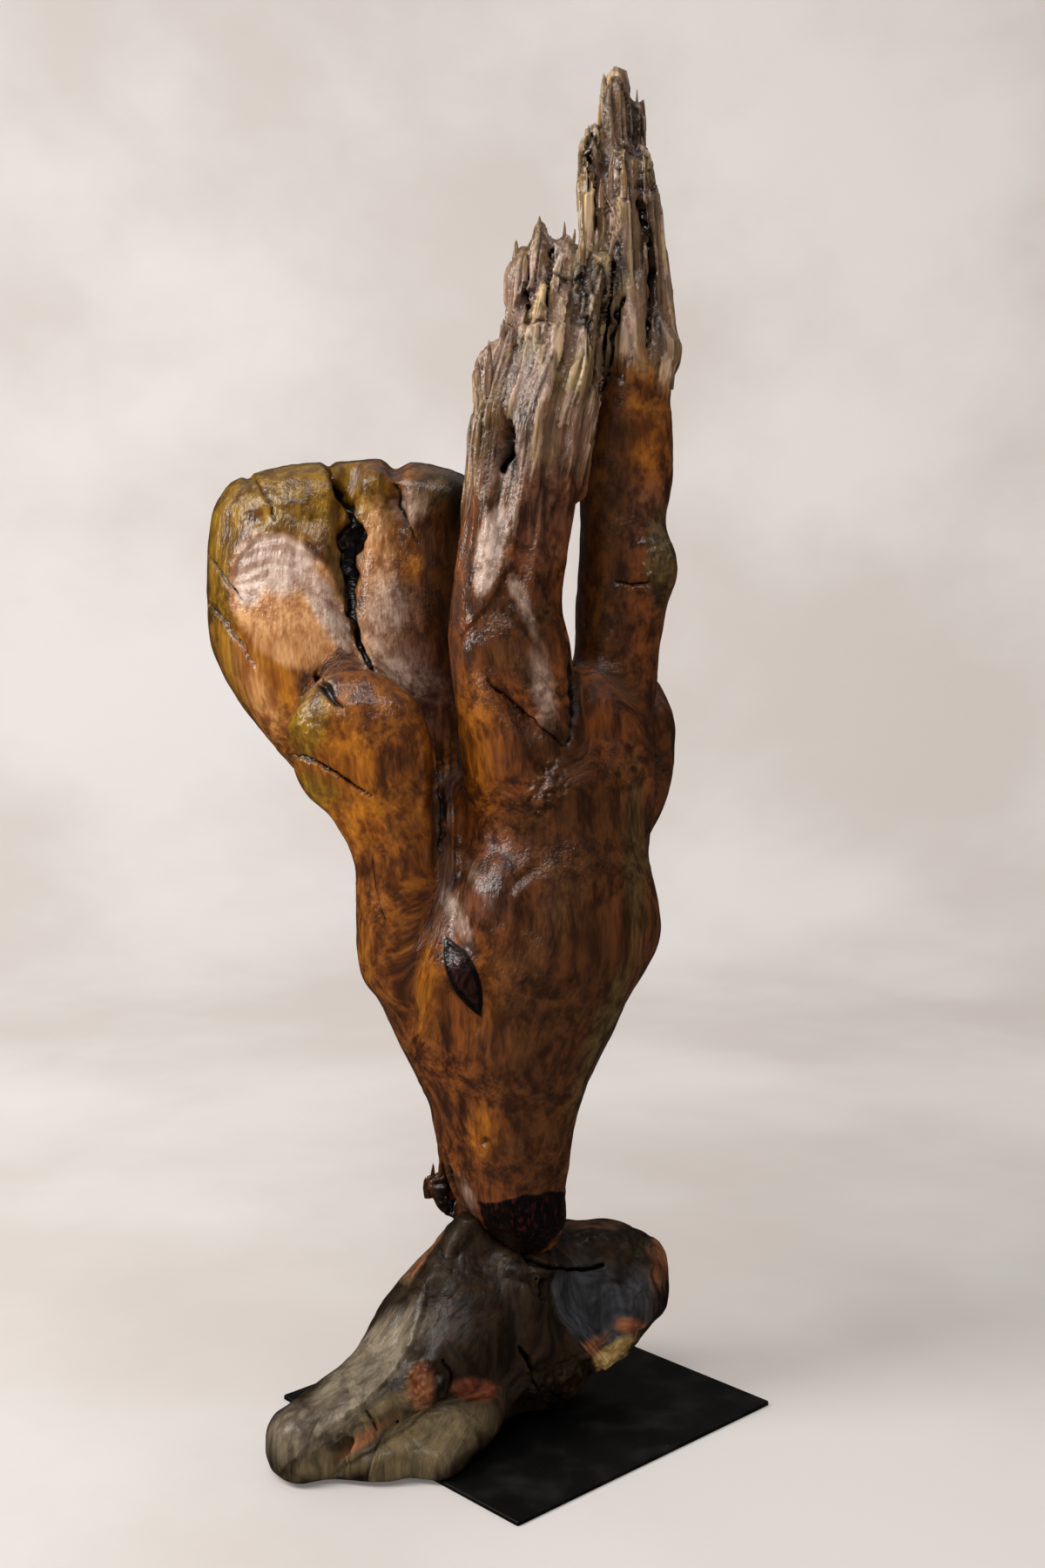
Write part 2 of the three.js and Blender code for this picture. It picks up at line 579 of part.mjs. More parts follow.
// The place of least error, or null where it isn't one point.
function leastErrorPlace(q) {
  const FLATNESS = 1e-4;
  const matrix = new THREE.Matrix3().set(q[0], q[1], q[2], q[1], q[4], q[5], q[2], q[5], q[7]);
  const size = (q[0] + q[4] + q[7]) / 3;
  if (Math.abs(matrix.determinant()) < FLATNESS * size ** 3) return null;
  return new THREE.Vector3(-q[3], -q[6], -q[8]).applyMatrix3(matrix.invert()).toArray();
}

// Thins a closed mesh to a number of triangles. The edges whose loss changes the form least go first.
function thin({ places, faces }, target) {
  const EVENNESS = 0.02; // a small price on length keeps the triangles well shaped
  const LEAST_TURN = 0.25; // a triangle may turn until this is left of it in its old direction
  const LEAST_AREA = 1e-3;
  const errors = places.map(() => new Array(10).fill(0));
  const around = places.map(() => new Set());
  const version = places.map(() => 0);
  const queue = new Heap();
  const plus = (a, b) => a.map((value, i) => value + b[i]);
  faces.forEach((face, f) => {
    const normal = normalOf(face.map((n) => places[n]));
    const area = Math.hypot(...normal);
    const unit = normal.map((value) => value / Math.max(area, LEAST_AREA));
    const error = planeError(unit, -dot(unit, places[face[0]]), area);
    for (const n of face) {
      errors[n] = plus(errors[n], error);
      around[n].add(f);
    }
  });
  const offer = (a, b) => {
    const error = plus(errors[a], errors[b]);
    const middle = places[a].map((value, i) => (value + places[b][i]) / 2);
    const length = Math.hypot(...minus(places[a], places[b]));
    let [best, cost] = [middle, errorAt(error, middle)];
    for (const place of [places[a], places[b], leastErrorPlace(error)]) {
      if (!place || Math.hypot(...minus(place, middle)) > 2 * length) continue;
      const here = errorAt(error, place);
      if (here < cost) [best, cost] = [place, here];
    }
    queue.push([Math.max(cost, 0) + EVENNESS * length ** 3, a, b, version[a], version[b], best]);
  };
  const neighbours = (n) => {
    const others = new Set([...around[n]].flatMap((f) => faces[f]));
    others.delete(n);
    return others;
  };
  const turnsOver = (n, place, gone) => [...around[n]].some((f) => {
    const face = faces[f];
    if (face.includes(gone)) return false;
    const before = normalOf(face.map((m) => places[m]));
    const after = normalOf(face.map((m) => (m === n ? place : places[m])));
    const area = Math.hypot(...after);
    return area < LEAST_AREA || dot(before, after) < LEAST_TURN * Math.hypot(...before) * area;
  });
  const mayJoin = (a, b, place) => {
    const shared = [...neighbours(a)].filter((n) => neighbours(b).has(n));
    return shared.length === 2 && !turnsOver(a, place, b) && !turnsOver(b, place, a);
  };
  for (const face of faces) {
    for (let i = 0; i < 3; i++) if (face[i] < face[(i + 1) % 3]) offer(face[i], face[(i + 1) % 3]);
  }
  let left = faces.length;
  while (left > target && queue.rows.length) {
    const [, a, b, versionA, versionB, place] = queue.pop();
    if (version[a] !== versionA || version[b] !== versionB || !mayJoin(a, b, place)) continue;
    for (const f of [...around[b]]) {
      const face = faces[f];
      if (face.includes(a)) {
        for (const n of face) around[n].delete(f);
        faces[f] = null;
        left--;
      } else {
        face[face.indexOf(b)] = a;
        around[a].add(f);
      }
    }
    around[b].clear();
    places[a] = place;
    errors[a] = plus(errors[a], errors[b]);
    version[a]++;
    version[b]++;
    for (const n of neighbours(a)) offer(a, n);
  }
  return { places, faces: faces.filter(Boolean) };
}

const wasm = await Module();
wasm.setup();

function solidFrom(geometry) {
  const bare = geometry.clone();
  bare.deleteAttribute('normal');
  bare.deleteAttribute('uv');
  const merged = mergeVertices(bare, 1e-4);
  return new wasm.Manifold(new wasm.Mesh({
    numProp: 3,
    vertProperties: new Float32Array(merged.attributes.position.array),
    triVerts: new Uint32Array(merged.index.array),
  }));
}

// The largest body of a solid, because a cut can leave crumbs.
function geometryFrom(solid) {
  const largest = solid.decompose().reduce((most, body) => (body.volume() > most.volume() ? body : most));
  const mesh = largest.getMesh();
  const geometry = new THREE.BufferGeometry();
  geometry.setAttribute('position', new THREE.BufferAttribute(new Float32Array(mesh.vertProperties), 3));
  geometry.setIndex(new THREE.BufferAttribute(new Uint32Array(mesh.triVerts), 1));
  geometry.computeVertexNormals();
  return geometry;
}

function surfaceGeometry({ places, faces }) {
  const geometry = new THREE.BufferGeometry();
  geometry.setAttribute('position', new THREE.BufferAttribute(new Float32Array(places.flat()), 3));
  geometry.setIndex(faces.flat());
  return geometry;
}

// A block that takes away all below a height.
function sawBelow(height, wide) {
  return solidFrom(new THREE.BoxGeometry(wide, wide, wide).translate(0, 0, height - wide / 2));
}

// Boxes of shares that hold each form, with room to spare.
const CARVING_BOX = [[-41, -24, 13], [23, 28, 155]];
const ROOT_BOX = [[-34, -27, -5], [21, 15, 29]];

// The carving, cut flat at its foot and stood on the root's seat.
function makeCarving() {
  const surface = surfaceOf(carvingAt, CARVING_BOX, carvingShare, CARVING_CELL);
  const whole = surfaceGeometry(thin(surface, CARVING_TRIANGLES));
  const foot = CARVING_FOOT * carvingShare;
  const cut = solidFrom(whole).subtract(sawBelow(foot, CARVING_HEIGHT));
  const [x, y] = SEAT_MIDDLE.map((value) => value * (rootShare - carvingShare));
  return geometryFrom(cut).translate(x, y, seatHeight + GAP - foot);
}

// The root, cut flat where it lies on the plate. Its pocket is cut by the muzzle itself, pushed out
// all round by the clearance.
function makeRoot(carving) {
  const PUSHES = 6;
  const surface = surfaceOf(rootAt, ROOT_BOX, rootShare, ROOT_CELL);
  const whole = surfaceGeometry(thin(surface, ROOT_TRIANGLES));
  whole.translate(0, 0, rootUnderside - ROOT_FOOT * rootShare);
  let solid = solidFrom(whole).subtract(sawBelow(rootUnderside, ROOT_LENGTH * 2));
  solid = solid.subtract(solidFrom(carving));
  for (let i = 0; i < PUSHES; i++) {
    const angle = (i / PUSHES) * 2 * Math.PI;
    const pocket = carving.clone();
    pocket.translate(SEAT_CLEARANCE * Math.cos(angle), SEAT_CLEARANCE * Math.sin(angle), -GAP);
    solid = solid.subtract(solidFrom(pocket));
  }
  return geometryFrom(solid);
}

function makePlate() {
  const half = PLATE_SIDE / 2 - PLATE_EDGE;
  const corner = PLATE_CORNER;
  const outline = new THREE.Shape();
  const turns = [[1, 1, 0], [-1, 1, 0.5], [-1, -1, 1], [1, -1, 1.5]];
  for (const [x, y, start] of turns) {
    const [from, to] = [start * Math.PI, (start + 0.5) * Math.PI];
    outline.absarc(x * (half - corner), y * (half - corner), corner, from, to, false);
  }
  return new THREE.ExtrudeGeometry(outline, {
    depth: PLATE_THICKNESS - 2 * PLATE_EDGE,
    bevelThickness: PLATE_EDGE,
    bevelSize: PLATE_EDGE,
    bevelSegments: 1,
    curveSegments: 2,
  }).translate(0, 0, PLATE_EDGE);
}

const oiledDriftwood = new THREE.MeshStandardMaterial({ color: '#7a3f14', roughness: 0.35, metalness: 0 });
const rawRoot = new THREE.MeshStandardMaterial({ color: '#4a3a26', roughness: 0.6, metalness: 0 });
const blackenedSteel = new THREE.MeshStandardMaterial({ color: '#151413', roughness: 0.5, metalness: 0.6 });

function named(name, geometry, material) {
  const mesh = new THREE.Mesh(geometry, material);
  mesh.name = name;
  return mesh;
}

const carving = makeCarving();
const turned = new THREE.Group();
turned.rotation.z = radians(TURN);
turned.add(named('antelope', carving, oiledDriftwood));
turned.add(named('root_base', makeRoot(carving), rawRoot));

const sculpture = new THREE.Group();
sculpture.add(turned);
sculpture.add(named('steel_plate', makePlate(), blackenedSteel));

export default sculpture;
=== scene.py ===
import math

import bpy
import numpy as np
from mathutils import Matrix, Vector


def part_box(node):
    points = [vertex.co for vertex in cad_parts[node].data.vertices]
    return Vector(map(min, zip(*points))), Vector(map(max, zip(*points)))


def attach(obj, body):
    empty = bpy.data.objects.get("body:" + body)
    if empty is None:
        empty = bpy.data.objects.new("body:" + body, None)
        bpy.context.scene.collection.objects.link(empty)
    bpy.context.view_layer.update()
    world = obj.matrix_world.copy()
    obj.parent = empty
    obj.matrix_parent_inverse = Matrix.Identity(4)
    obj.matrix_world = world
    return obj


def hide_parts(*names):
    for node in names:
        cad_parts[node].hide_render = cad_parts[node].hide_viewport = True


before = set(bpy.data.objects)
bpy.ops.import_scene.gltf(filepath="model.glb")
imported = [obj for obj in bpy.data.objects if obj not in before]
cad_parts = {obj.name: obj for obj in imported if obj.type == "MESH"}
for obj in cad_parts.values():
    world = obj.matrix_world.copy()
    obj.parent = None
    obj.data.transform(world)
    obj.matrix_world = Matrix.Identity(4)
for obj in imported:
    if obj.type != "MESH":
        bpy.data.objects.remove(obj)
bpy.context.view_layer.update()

# A carved driftwood antelope's head on a root, over a square steel plate, finished and oiled.
# Blender works in metres. Lengths below are millimetres and are turned to metres where they are used.
MM = 0.001

# The view from the front
EYE_PLACE = np.array([-1359.0, -1433.0, 911.0])
EYE_TURN = -43.388  # degrees from +Y, to the left
EYE_DIP = 5.467  # degrees below level
LENS = 40.53  # on a film 36 mm high
SHEET = (1200, 1800)  # the front view's width and height, in its own units
SHEET_DISTANCE = LENS / 36 * SHEET[1]  # at this distance one unit is one millimetre

# The carving and its root are turned on the plate
FIGURE_TURN = -43.4

# How fine the skins are: the side of a square before it is parted in four, and the triangles kept
CARVING_SKIN = 4.1
ROOT_SKIN = 3.0
CARVING_TRIANGLES = 188000
ROOT_TRIANGLES = 120000


def linear(colour):
    """A colour's sRGB hex value as linear light, with full cover."""
    parts = [int(colour[i:i + 2], 16) / 255 for i in (1, 3, 5)]
    return [p / 12.92 if p <= 0.04045 else ((p + 0.055) / 1.055) ** 2.4 for p in parts] + [1.0]


def rise(value, low, high):
    """0 below low, 1 above high, and smooth between. Low may be above high."""
    share = np.clip((value - low) / (high - low), 0, 1)
    return share * share * (3 - 2 * share)


# Natural relief from a lattice of repeatable values

def cell_value(x, y, z, seed):
    """A repeatable value from 0 to 1 for a lattice cell: its whole numbers are stirred by large odd ones."""
    mixed = x * np.uint32(73856093) ^ y * np.uint32(19349663) ^ z * np.uint32(83492791)
    mixed = mixed ^ np.uint32(seed * 7919 + 17)
    mixed = (mixed ^ (mixed >> np.uint32(13))) * np.uint32(1274126177)
    mixed = (mixed ^ (mixed >> np.uint32(15))) * np.uint32(2246822519)
    mixed = (mixed ^ (mixed >> np.uint32(16))) & np.uint32(0xFFFFFF)
    return mixed.astype(np.float32) / np.float32(0xFFFFFF)


def noise(place, size, seed=0):
    """Smooth random relief from -1 to 1. Size is the length of one lump, or one for each direction."""
    spot = (place / size).astype(np.float32)
    low = np.floor(spot)
    part = spot - low
    part = part * part * (3 - 2 * part)
    x, y, z = low.astype(np.int64).astype(np.uint32).T
    total = np.zeros(len(place), np.float32)
    for corner in range(8):
        i, j, k = corner & 1, corner >> 1 & 1, corner >> 2
        weight = abs(1 - i - part[:, 0]) * abs(1 - j - part[:, 1]) * abs(1 - k - part[:, 2])
        total += weight * cell_value(x + np.uint32(i), y + np.uint32(j), z + np.uint32(k), seed)
    return 2 * total - 1


def ridges(place, size, seed=0):
    """Rounded ridges with sharp furrows between them, from 0 in a furrow to 1 on a ridge."""
    return np.abs(noise(place, size, seed)) ** 0.6


def strips(place, width, length, seed):
    """Split layers: how high each strip stands, from -1 to 1, and how far a place is from its edge."""
    across = place[:, :2] / width
    low = np.floor(across)
    x, y = low.astype(np.int64).astype(np.uint32).T
    along = np.floor(place[:, 2] / length + 5 * cell_value(x, y, x, seed))
    along = along.astype(np.int64).astype(np.uint32)
    part = across - low
    return 2 * cell_value(x, y, along, seed + 1) - 1, np.minimum(part, 1 - part).min(axis=1) * width


# Meshes as arrays

def new_piece(name, mesh):
    piece = bpy.data.objects.new(name, mesh)
    bpy.context.scene.collection.objects.link(piece)
    return piece


def shaped_by(piece, kind, **settings):
    """The piece's mesh after one modifier, which isn't kept."""
    modifier = piece.modifiers.new(kind.lower(), kind)
    for name, value in settings.items():
        setattr(modifier, name, value)
    shaped = bpy.data.meshes.new_from_object(piece.evaluated_get(bpy.context.evaluated_depsgraph_get()))
    piece.modifiers.clear()
    piece.data = shaped
    return shaped


def places_of(mesh):
    co = np.empty(len(mesh.vertices) * 3)
    mesh.vertices.foreach_get("co", co)
    return co.reshape(-1, 3) / MM


def set_places(mesh, places):
    mesh.vertices.foreach_set("co", (places * MM).ravel())
    mesh.update()


def sum_at(index, values, count):
    return np.column_stack([np.bincount(index, values[:, k], count) for k in range(3)])


class Skin:
    """An even mesh of squares, with its neighbours and its outward directions."""

    def __init__(self, mesh):
        self.mesh = mesh
        self.places = places_of(mesh)
        self.count = len(self.places)
        edges = np.empty(len(mesh.edges) * 2, np.int64)
        mesh.edges.foreach_get("vertices", edges)
        ends = edges.reshape(-1, 2)
        self.near = np.concatenate([ends[:, 0], ends[:, 1]])
        self.far = np.concatenate([ends[:, 1], ends[:, 0]])
        self.degree = np.bincount(self.near, minlength=self.count)[:, None]
        corners = np.empty(len(mesh.loops), np.int64)
        mesh.loops.foreach_get("vertex_index", corners)
        self.squares = corners.reshape(-1, 4)

    def outward(self):
        p = self.places
        a, b, c, d = self.squares.T
        face = np.cross(p[c] - p[a], p[d] - p[b])
        total = sum(sum_at(corner, face, self.count) for corner in (a, b, c, d))
        return total / np.maximum(np.linalg.norm(total, axis=1), 1e-9)[:, None]

    def relax(self, passes, pull=0.6, push=-0.63, share=1.0):
        """Wears off what is narrower than about ten squares, and keeps the larger form."""
        start = self.places
        p = self.places
        for step in range(2 * passes):
            mean = sum_at(self.near, p[self.far], self.count) / self.degree
            p = p + (pull if step % 2 == 0 else push) * (mean - p)
        self.places = start + (p - start) * np.reshape(share, (-1, 1))

    def swell(self, heights):
        self.places = self.places + self.outward() * heights[:, None]


def even_skin(node, name, cell, passes, share=lambda skin: 1.0, softened=lambda skin: 0.0):
    """A fine even copy of a CAD node: its facets are worn off, and each square is then parted in four."""
    piece = new_piece(name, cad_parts[node].data.copy())
    skin = Skin(shaped_by(piece, "REMESH", mode="VOXEL", voxel_size=cell * MM))
    skin.relax(passes, share=share(skin))
    skin.relax(34, pull=0.6, push=0.6, share=softened(skin))
    set_places(skin.mesh, skin.places)
    return piece, Skin(shaped_by(piece, "SUBSURF", levels=1, render_levels=1))


# Where a point is on the figure and on the front view

def turned(places, angle):
    """Places turned about the upright axis, in degrees."""
    cos, sin = math.cos(math.radians(angle)), math.sin(math.radians(angle))
    x, y, z = places.T
    return np.column_stack([x * cos - y * sin, x * sin + y * cos, z])


def figure_places(places):
    """Places as [across to the viewer's right, deep away from the viewer, up]."""
    return turned(places, -FIGURE_TURN)


def world_places(figure):
    return turned(figure, FIGURE_TURN)


def eye_axes():
    a, e = math.radians(EYE_TURN), math.radians(EYE_DIP)
    right = np.array([math.cos(a), math.sin(a), 0])
    ahead = np.array([-math.sin(a) * math.cos(e), math.cos(a) * math.cos(e), -math.sin(e)])
    return right, ahead, np.cross(right, ahead)


def on_sheet(places):
    """Where each place is seen on the front view, counted right and down from its top left corner."""
    right, ahead, above = eye_axes()
    ray = places - EYE_PLACE
    scale = SHEET_DISTANCE / (ray @ ahead)
    return np.column_stack([SHEET[0] / 2 + scale * (ray @ right), SHEET[1] / 2 - scale * (ray @ above)])


def off_sheet(right, down, deep):
    """The place on the figure that is seen at a point of the front view, at a given depth."""
    dip = math.radians(EYE_DIP)
    across = (right - SHEET[0] / 2) / SHEET_DISTANCE
    above = (SHEET[1] / 2 - down) / SHEET_DISTANCE
    level = math.cos(dip) + above * math.sin(dip)
    eye = figure_places(EYE_PLACE[None])[0]
    run = (deep - eye[1]) / level
    return eye + [run * across, deep - eye[1], run * (above * math.cos(dip) - math.sin(dip))]


def facing(places, outward):
    """How far the surface looks to the front, from -1 to 1."""
    ray = EYE_PLACE - places
    return (outward * ray).sum(1) / np.linalg.norm(ray, axis=1)


def front_share(skin, low=-0.05, high=0.2):
    """1 on the side that the front view shows, 0 behind, and soft round the edge."""
    return rise(facing(skin.places, skin.outward()), low, high)


def patch(sheet, middle, radii, turn=0.0, soft=0.5):
    """1 inside an oval on the front view and 0 outside, over a soft edge that is a share of its size."""
    cos, sin = math.cos(math.radians(turn)), math.sin(math.radians(turn))
    across, down = (sheet - middle).T
    reach = np.hypot((across * cos + down * sin) / radii[0], (down * cos - across * sin) / radii[1])
    return rise(reach, 1 + soft, 1 - soft)


def line_distance(sheet, line, reach=40):
    """Each place's distance from a line of [right, down, half width], its side, and the half width there.
    Places further than the reach count as far away."""
    best = np.full(len(sheet), 1e9)
    side = np.zeros(len(sheet))
    width = np.ones(len(sheet))
    points = np.array(line, float)
    box_low, box_high = points[:, :2].min(axis=0) - reach, points[:, :2].max(axis=0) + reach
    near = np.flatnonzero(((sheet > box_low) & (sheet < box_high)).all(axis=1))
    spots = sheet[near]
    for (ax, ay, aw), (bx, by, bw) in zip(points, points[1:]):
        run = np.array([bx - ax, by - ay])
        off = spots - (ax, ay)
        share = np.clip(off @ run / (run @ run), 0, 1)
        away = np.linalg.norm(off - share[:, None] * run, axis=1)
        nearer = away < best[near]
        chosen = near[nearer]
        best[chosen] = away[nearer]
        side[chosen] = np.sign(off[:, 0] * run[1] - off[:, 1] * run[0])[nearer]
        width[chosen] = (aw + share * (bw - aw))[nearer]
    return best, side, width


def ledge_heights(sheet, ledges, brink):
    """Raises one side of each line. The step is as wide as twice the brink, and fades within its reach."""
    height = np.zeros(len(sheet))
    for line, step, reach in ledges.values():
        away, side, _ = line_distance(sheet, [(x, y, 0) for x, y in line], reach)
        height += step * rise(side * away, -brink, brink) * rise(away, reach, reach * 0.2)
    return height


def tint_marks(sheet, front, shares, tints, soft, hold):
    """How strong each tint is at each place. A spot stays on its own limb, where it has the share in hold."""
    marks = {}
    for name, spots in tints.items():
        marks[name] = np.zeros(len(sheet))
        for limb, middle, radii, turn, strength, *own_soft in spots:
            reach = patch(sheet, middle, radii, turn, *(own_soft or [soft]))
            reach = reach * strength * (0.35 + 0.65 * front)
            marks[name] = np.maximum(marks[name], reach * rise(shares[limb], *hold))
    return marks


# Limbs of the carving: heart lines as [across, deep, up, half thickness]. Fibres run along them.
LIMBS = {
    "face": [(-4, -31, 196, 40), (-24, -29, 270, 68), (-26, -14, 370, 90), (-13, -3, 470, 118),
             (20, 4, 560, 124), (26, 12, 670, 104), (40, 20, 780, 80)],
    "left ear": [(-84, 12, 430, 66), (-116, 4, 500, 80), (-134, -8, 560, 66), (-144, -32, 650, 50),
                 (-176, -54, 750, 60), (-186, -52, 836, 60)],
    "right ear": [(96, 105, 600, 30), (124, 144, 680, 42), (139, 166, 770, 52), (132, 162, 824, 40)],
    "neck": [(-40, 50, 540, 70), (-150, 75, 680, 88), (-185, 90, 760, 108), (-214, 110, 870, 134),
             (-216, 118, 970, 134), (-206, 120, 1056, 118)],
    "left horn": [(12, -30, 660, 53), (-6, -46, 774, 64), (-17, -44, 870, 64), (-21, -41, 917, 60),
                  (-10, -37, 1010, 57), (3, -31, 1104, 58), (26, -25, 1196, 50), (50, -25, 1335, 46)],
    "right horn": [(86, 34, 640, 47), (98, 40, 820, 51), (114, 40, 970, 52), (115, 38, 1110, 51),
                   (122, 36, 1210, 45), (113, 36, 1400, 30), (100, 38, 1510, 22)],
}
LIMB_SHARPNESS = 14.0  # how quickly the grain turns from one limb's way to the next's


def limb_shares(figure, limbs):
    """How much of each place belongs to each limb, and its place in the fibres as [across, deep, along]."""
    shares = {}
    fibre = np.zeros((len(figure), 3))
    whole = np.full(len(figure), 1e-30)
    for name, line in limbs.items():
        shares[name] = np.zeros(len(figure))
        run = line[0][2]
        for start, end in zip(np.array(line, float), np.array(line[1:], float)):
            step = end[:3] - start[:3]
            length = np.linalg.norm(step)
            off = figure - start[:3]
            share = np.clip(off @ step / length ** 2, 0, 1)
            off = off - share[:, None] * step
            away = np.linalg.norm(off, axis=1) / (start[3] + share * (end[3] - start[3]))
            weight = np.exp(-LIMB_SHARPNESS * away)
            fibre += weight[:, None] * np.column_stack([off[:, 0], off[:, 1], run + share * length])
            shares[name] += weight
            whole += weight
            run += length
    return {name: share / whole for name, share in shares.items()}, fibre / whole[:, None]


# Marks on the carving are placed on the front view, counted right and down from its top left corner.
# Cracks: [right, down, half width] along a line, and a depth
CRACKS = {
    "main split of the neck": ([(372, 524, 1.6), (382, 546, 2), (394, 566, 3), (402, 586, 3.4), (404, 610, 7),
                                (402, 640, 8), (401, 664, 7), (403, 700, 5), (411, 732, 4), (420, 757, 4),
                                (428, 769, 1.4)], 18),
    "left shake of the neck": ([(290, 548, 0.8), (305, 572, 1.4), (317, 597, 1)], 4),
    "right shake of the neck": ([(449, 558, 0.8), (459, 590, 1.4), (470, 606, 1.2), (482, 624, 0.6)], 4),
    "edge of the neck's flake": ([(238, 692, 2), (256, 712, 1.6), (272, 732, 1), (293, 764, 0.6)], 5),
    "upper edge shake": ([(239, 636, 0.8), (256, 660, 1.2), (278, 688, 0.8)], 4),
    "fold of the ear": ([(338, 868, 1.6), (362, 876, 1.4), (392, 893, 1.2), (425, 916, 0.6)], 6),
    "split of the ear's top": ([(362, 777, 2), (374, 792, 5), (388, 808, 4), (393, 812, 1)], 12),
    "back edge of the ear": ([(496, 850, 1), (505, 890, 2), (509, 930, 3), (506, 975, 1)], 7),
    "split at the muzzle": ([(511, 1322, 1), (514, 1342, 3), (517, 1362, 4), (519, 1392, 3)], 10),
    "hole in the left horn": ([(584, 484, 2), (584, 500, 6), (581, 524, 5), (579, 540, 2)], 20),
    "long shake of the left horn": ([(606, 296, 1.6), (603, 330, 2.4), (607, 372, 1.4)], 7),
    "second shake of the left horn": ([(632, 286, 2), (631, 330, 2.6), (632, 372, 1.4)], 7),
    "ledge on the left horn": ([(603, 370, 2), (616, 367, 2.4), (630, 366, 1.4)], 5),
    "valley between the horns": ([(705, 300, 2), (699, 336, 4), (696, 366, 5), (690, 396, 4),
                                  (684, 440, 3)], 12),
    "shake of the right horn": ([(734, 228, 2), (741, 262, 5), (747, 285, 3), (748, 330, 2),
                                 (744, 400, 1)], 9),
    "middle of the right horn": ([(716, 338, 2), (709, 360, 4), (700, 400, 3), (690, 450, 2)], 9),
    "slab on the right horn": ([(688, 215, 2), (687, 250, 4), (686, 285, 3)], 10),
    "slit in the slab": ([(674, 166, 1.4), (676, 190, 2.2), (677, 218, 1.4)], 5),
    "cross check of the right horn": ([(708, 669, 0.8), (724, 671, 1.6), (746, 667, 1)], 6),
    "foot of the sweep": ([(560, 782, 0.5), (590, 806, 1), (625, 838, 1.4), (645, 857, 0.6)], 4),
    "gap beside the sweep": ([(656, 728, 2), (657, 770, 4), (656, 820, 4), (650, 856, 1)], 4),
    "fine check under the ear": ([(425, 985, 0.3), (433, 1020, 0.6), (441, 1057, 0.3)], 0.8),
}
PITS = {  # [middle, radii, depth]
    "worm hole on the muzzle": ((557, 1310), (4, 5), 6),
    "pit on the neck": ((362, 596), (6, 4), 2.5),
    "knot hole in the neck": ((404, 618), (13, 18), 16),
    "hollow by the forehead knot": ((621, 880), (5, 9), 6),
    "nick in the right horn": ((655, 728), (6, 7), 8),
}
# Ledges: a line, how much the side on its left stands higher, and how far that reaches
LEDGES = {
    "rim of the oval": ([(272, 700), (268, 668), (275, 640), (296, 618), (322, 609), (350, 624), (370, 650),
                         (388, 690), (403, 724), (415, 760)], 3.6, 26),
    "foot of the sweep": ([(545, 745), (556, 776), (590, 806), (625, 838), (648, 860)], 5.0, 60),
    "lip of the ear": ([(338, 866), (362, 876), (392, 893), (425, 916)], -4.2, 34),
    "edge of the ear": ([(452, 812), (474, 826), (482, 848), (484, 880), (482, 930)], 3.0, 14),
    "edge of the bright facet": ([(598, 590), (592, 640), (566, 690), (545, 712)], -3.5, 40),
    "snapped layer": ([(600, 372), (616, 367), (634, 369)], -3.0, 60),
    "snapped tongue": ([(690, 214), (704, 208), (724, 214)], -4.0, 70),
    "layer over the sapwood": ([(668, 300), (672, 372), (690, 430), (716, 438), (728, 400)], -2.4, 18),
    "side of the root chip": ([(520, 1330), (522, 1362), (524, 1396)], -4.0, 12),
}
FURROWS = {  # wide soft hollows, with a depth
    "dip between the neck's lobes": ([(456, 516, 9), (452, 548, 10), (464, 600, 4)], 10),
    "dip at the split": ([(372, 516, 5), (384, 548, 5), (396, 580, 4)], 5),
    "notch of the neck's shoulder": ([(282, 540, 5), (290, 560, 4)], 4),
}
# Rough crusts, knots and burrs: [middle, radii, turn, height of a lump]
CRUSTS = [
    ((348, 838), (15, 46), 14, 2.4), ((366, 908), (34, 14), 32, 2.8), ((418, 945), (22, 26), 20, 2.6),
    ((630, 904), (24, 36), 10, 5.0), ((752, 660), (22, 50), 0, 4.2), ((502, 1368), (18, 34), 0, 6.0),
    ((404, 612), (16, 20), 0, 2.4), ((656, 734), (8, 10), 0, 2.2), ((300, 575), (60, 30), -12, 1.3),
    ((436, 600), (14, 50), 0, 1.6),
    ((576, 660), (20, 60), 10, 1.0),
]
OVAL = ((330, 690), (60, 84), -28)  # the oval facet of the neck
CREASES = [((516, 990), (18, 110), 0), ((548, 1186), (44, 40), 0), ((690, 790), (34, 26), 0)]  # worn soft


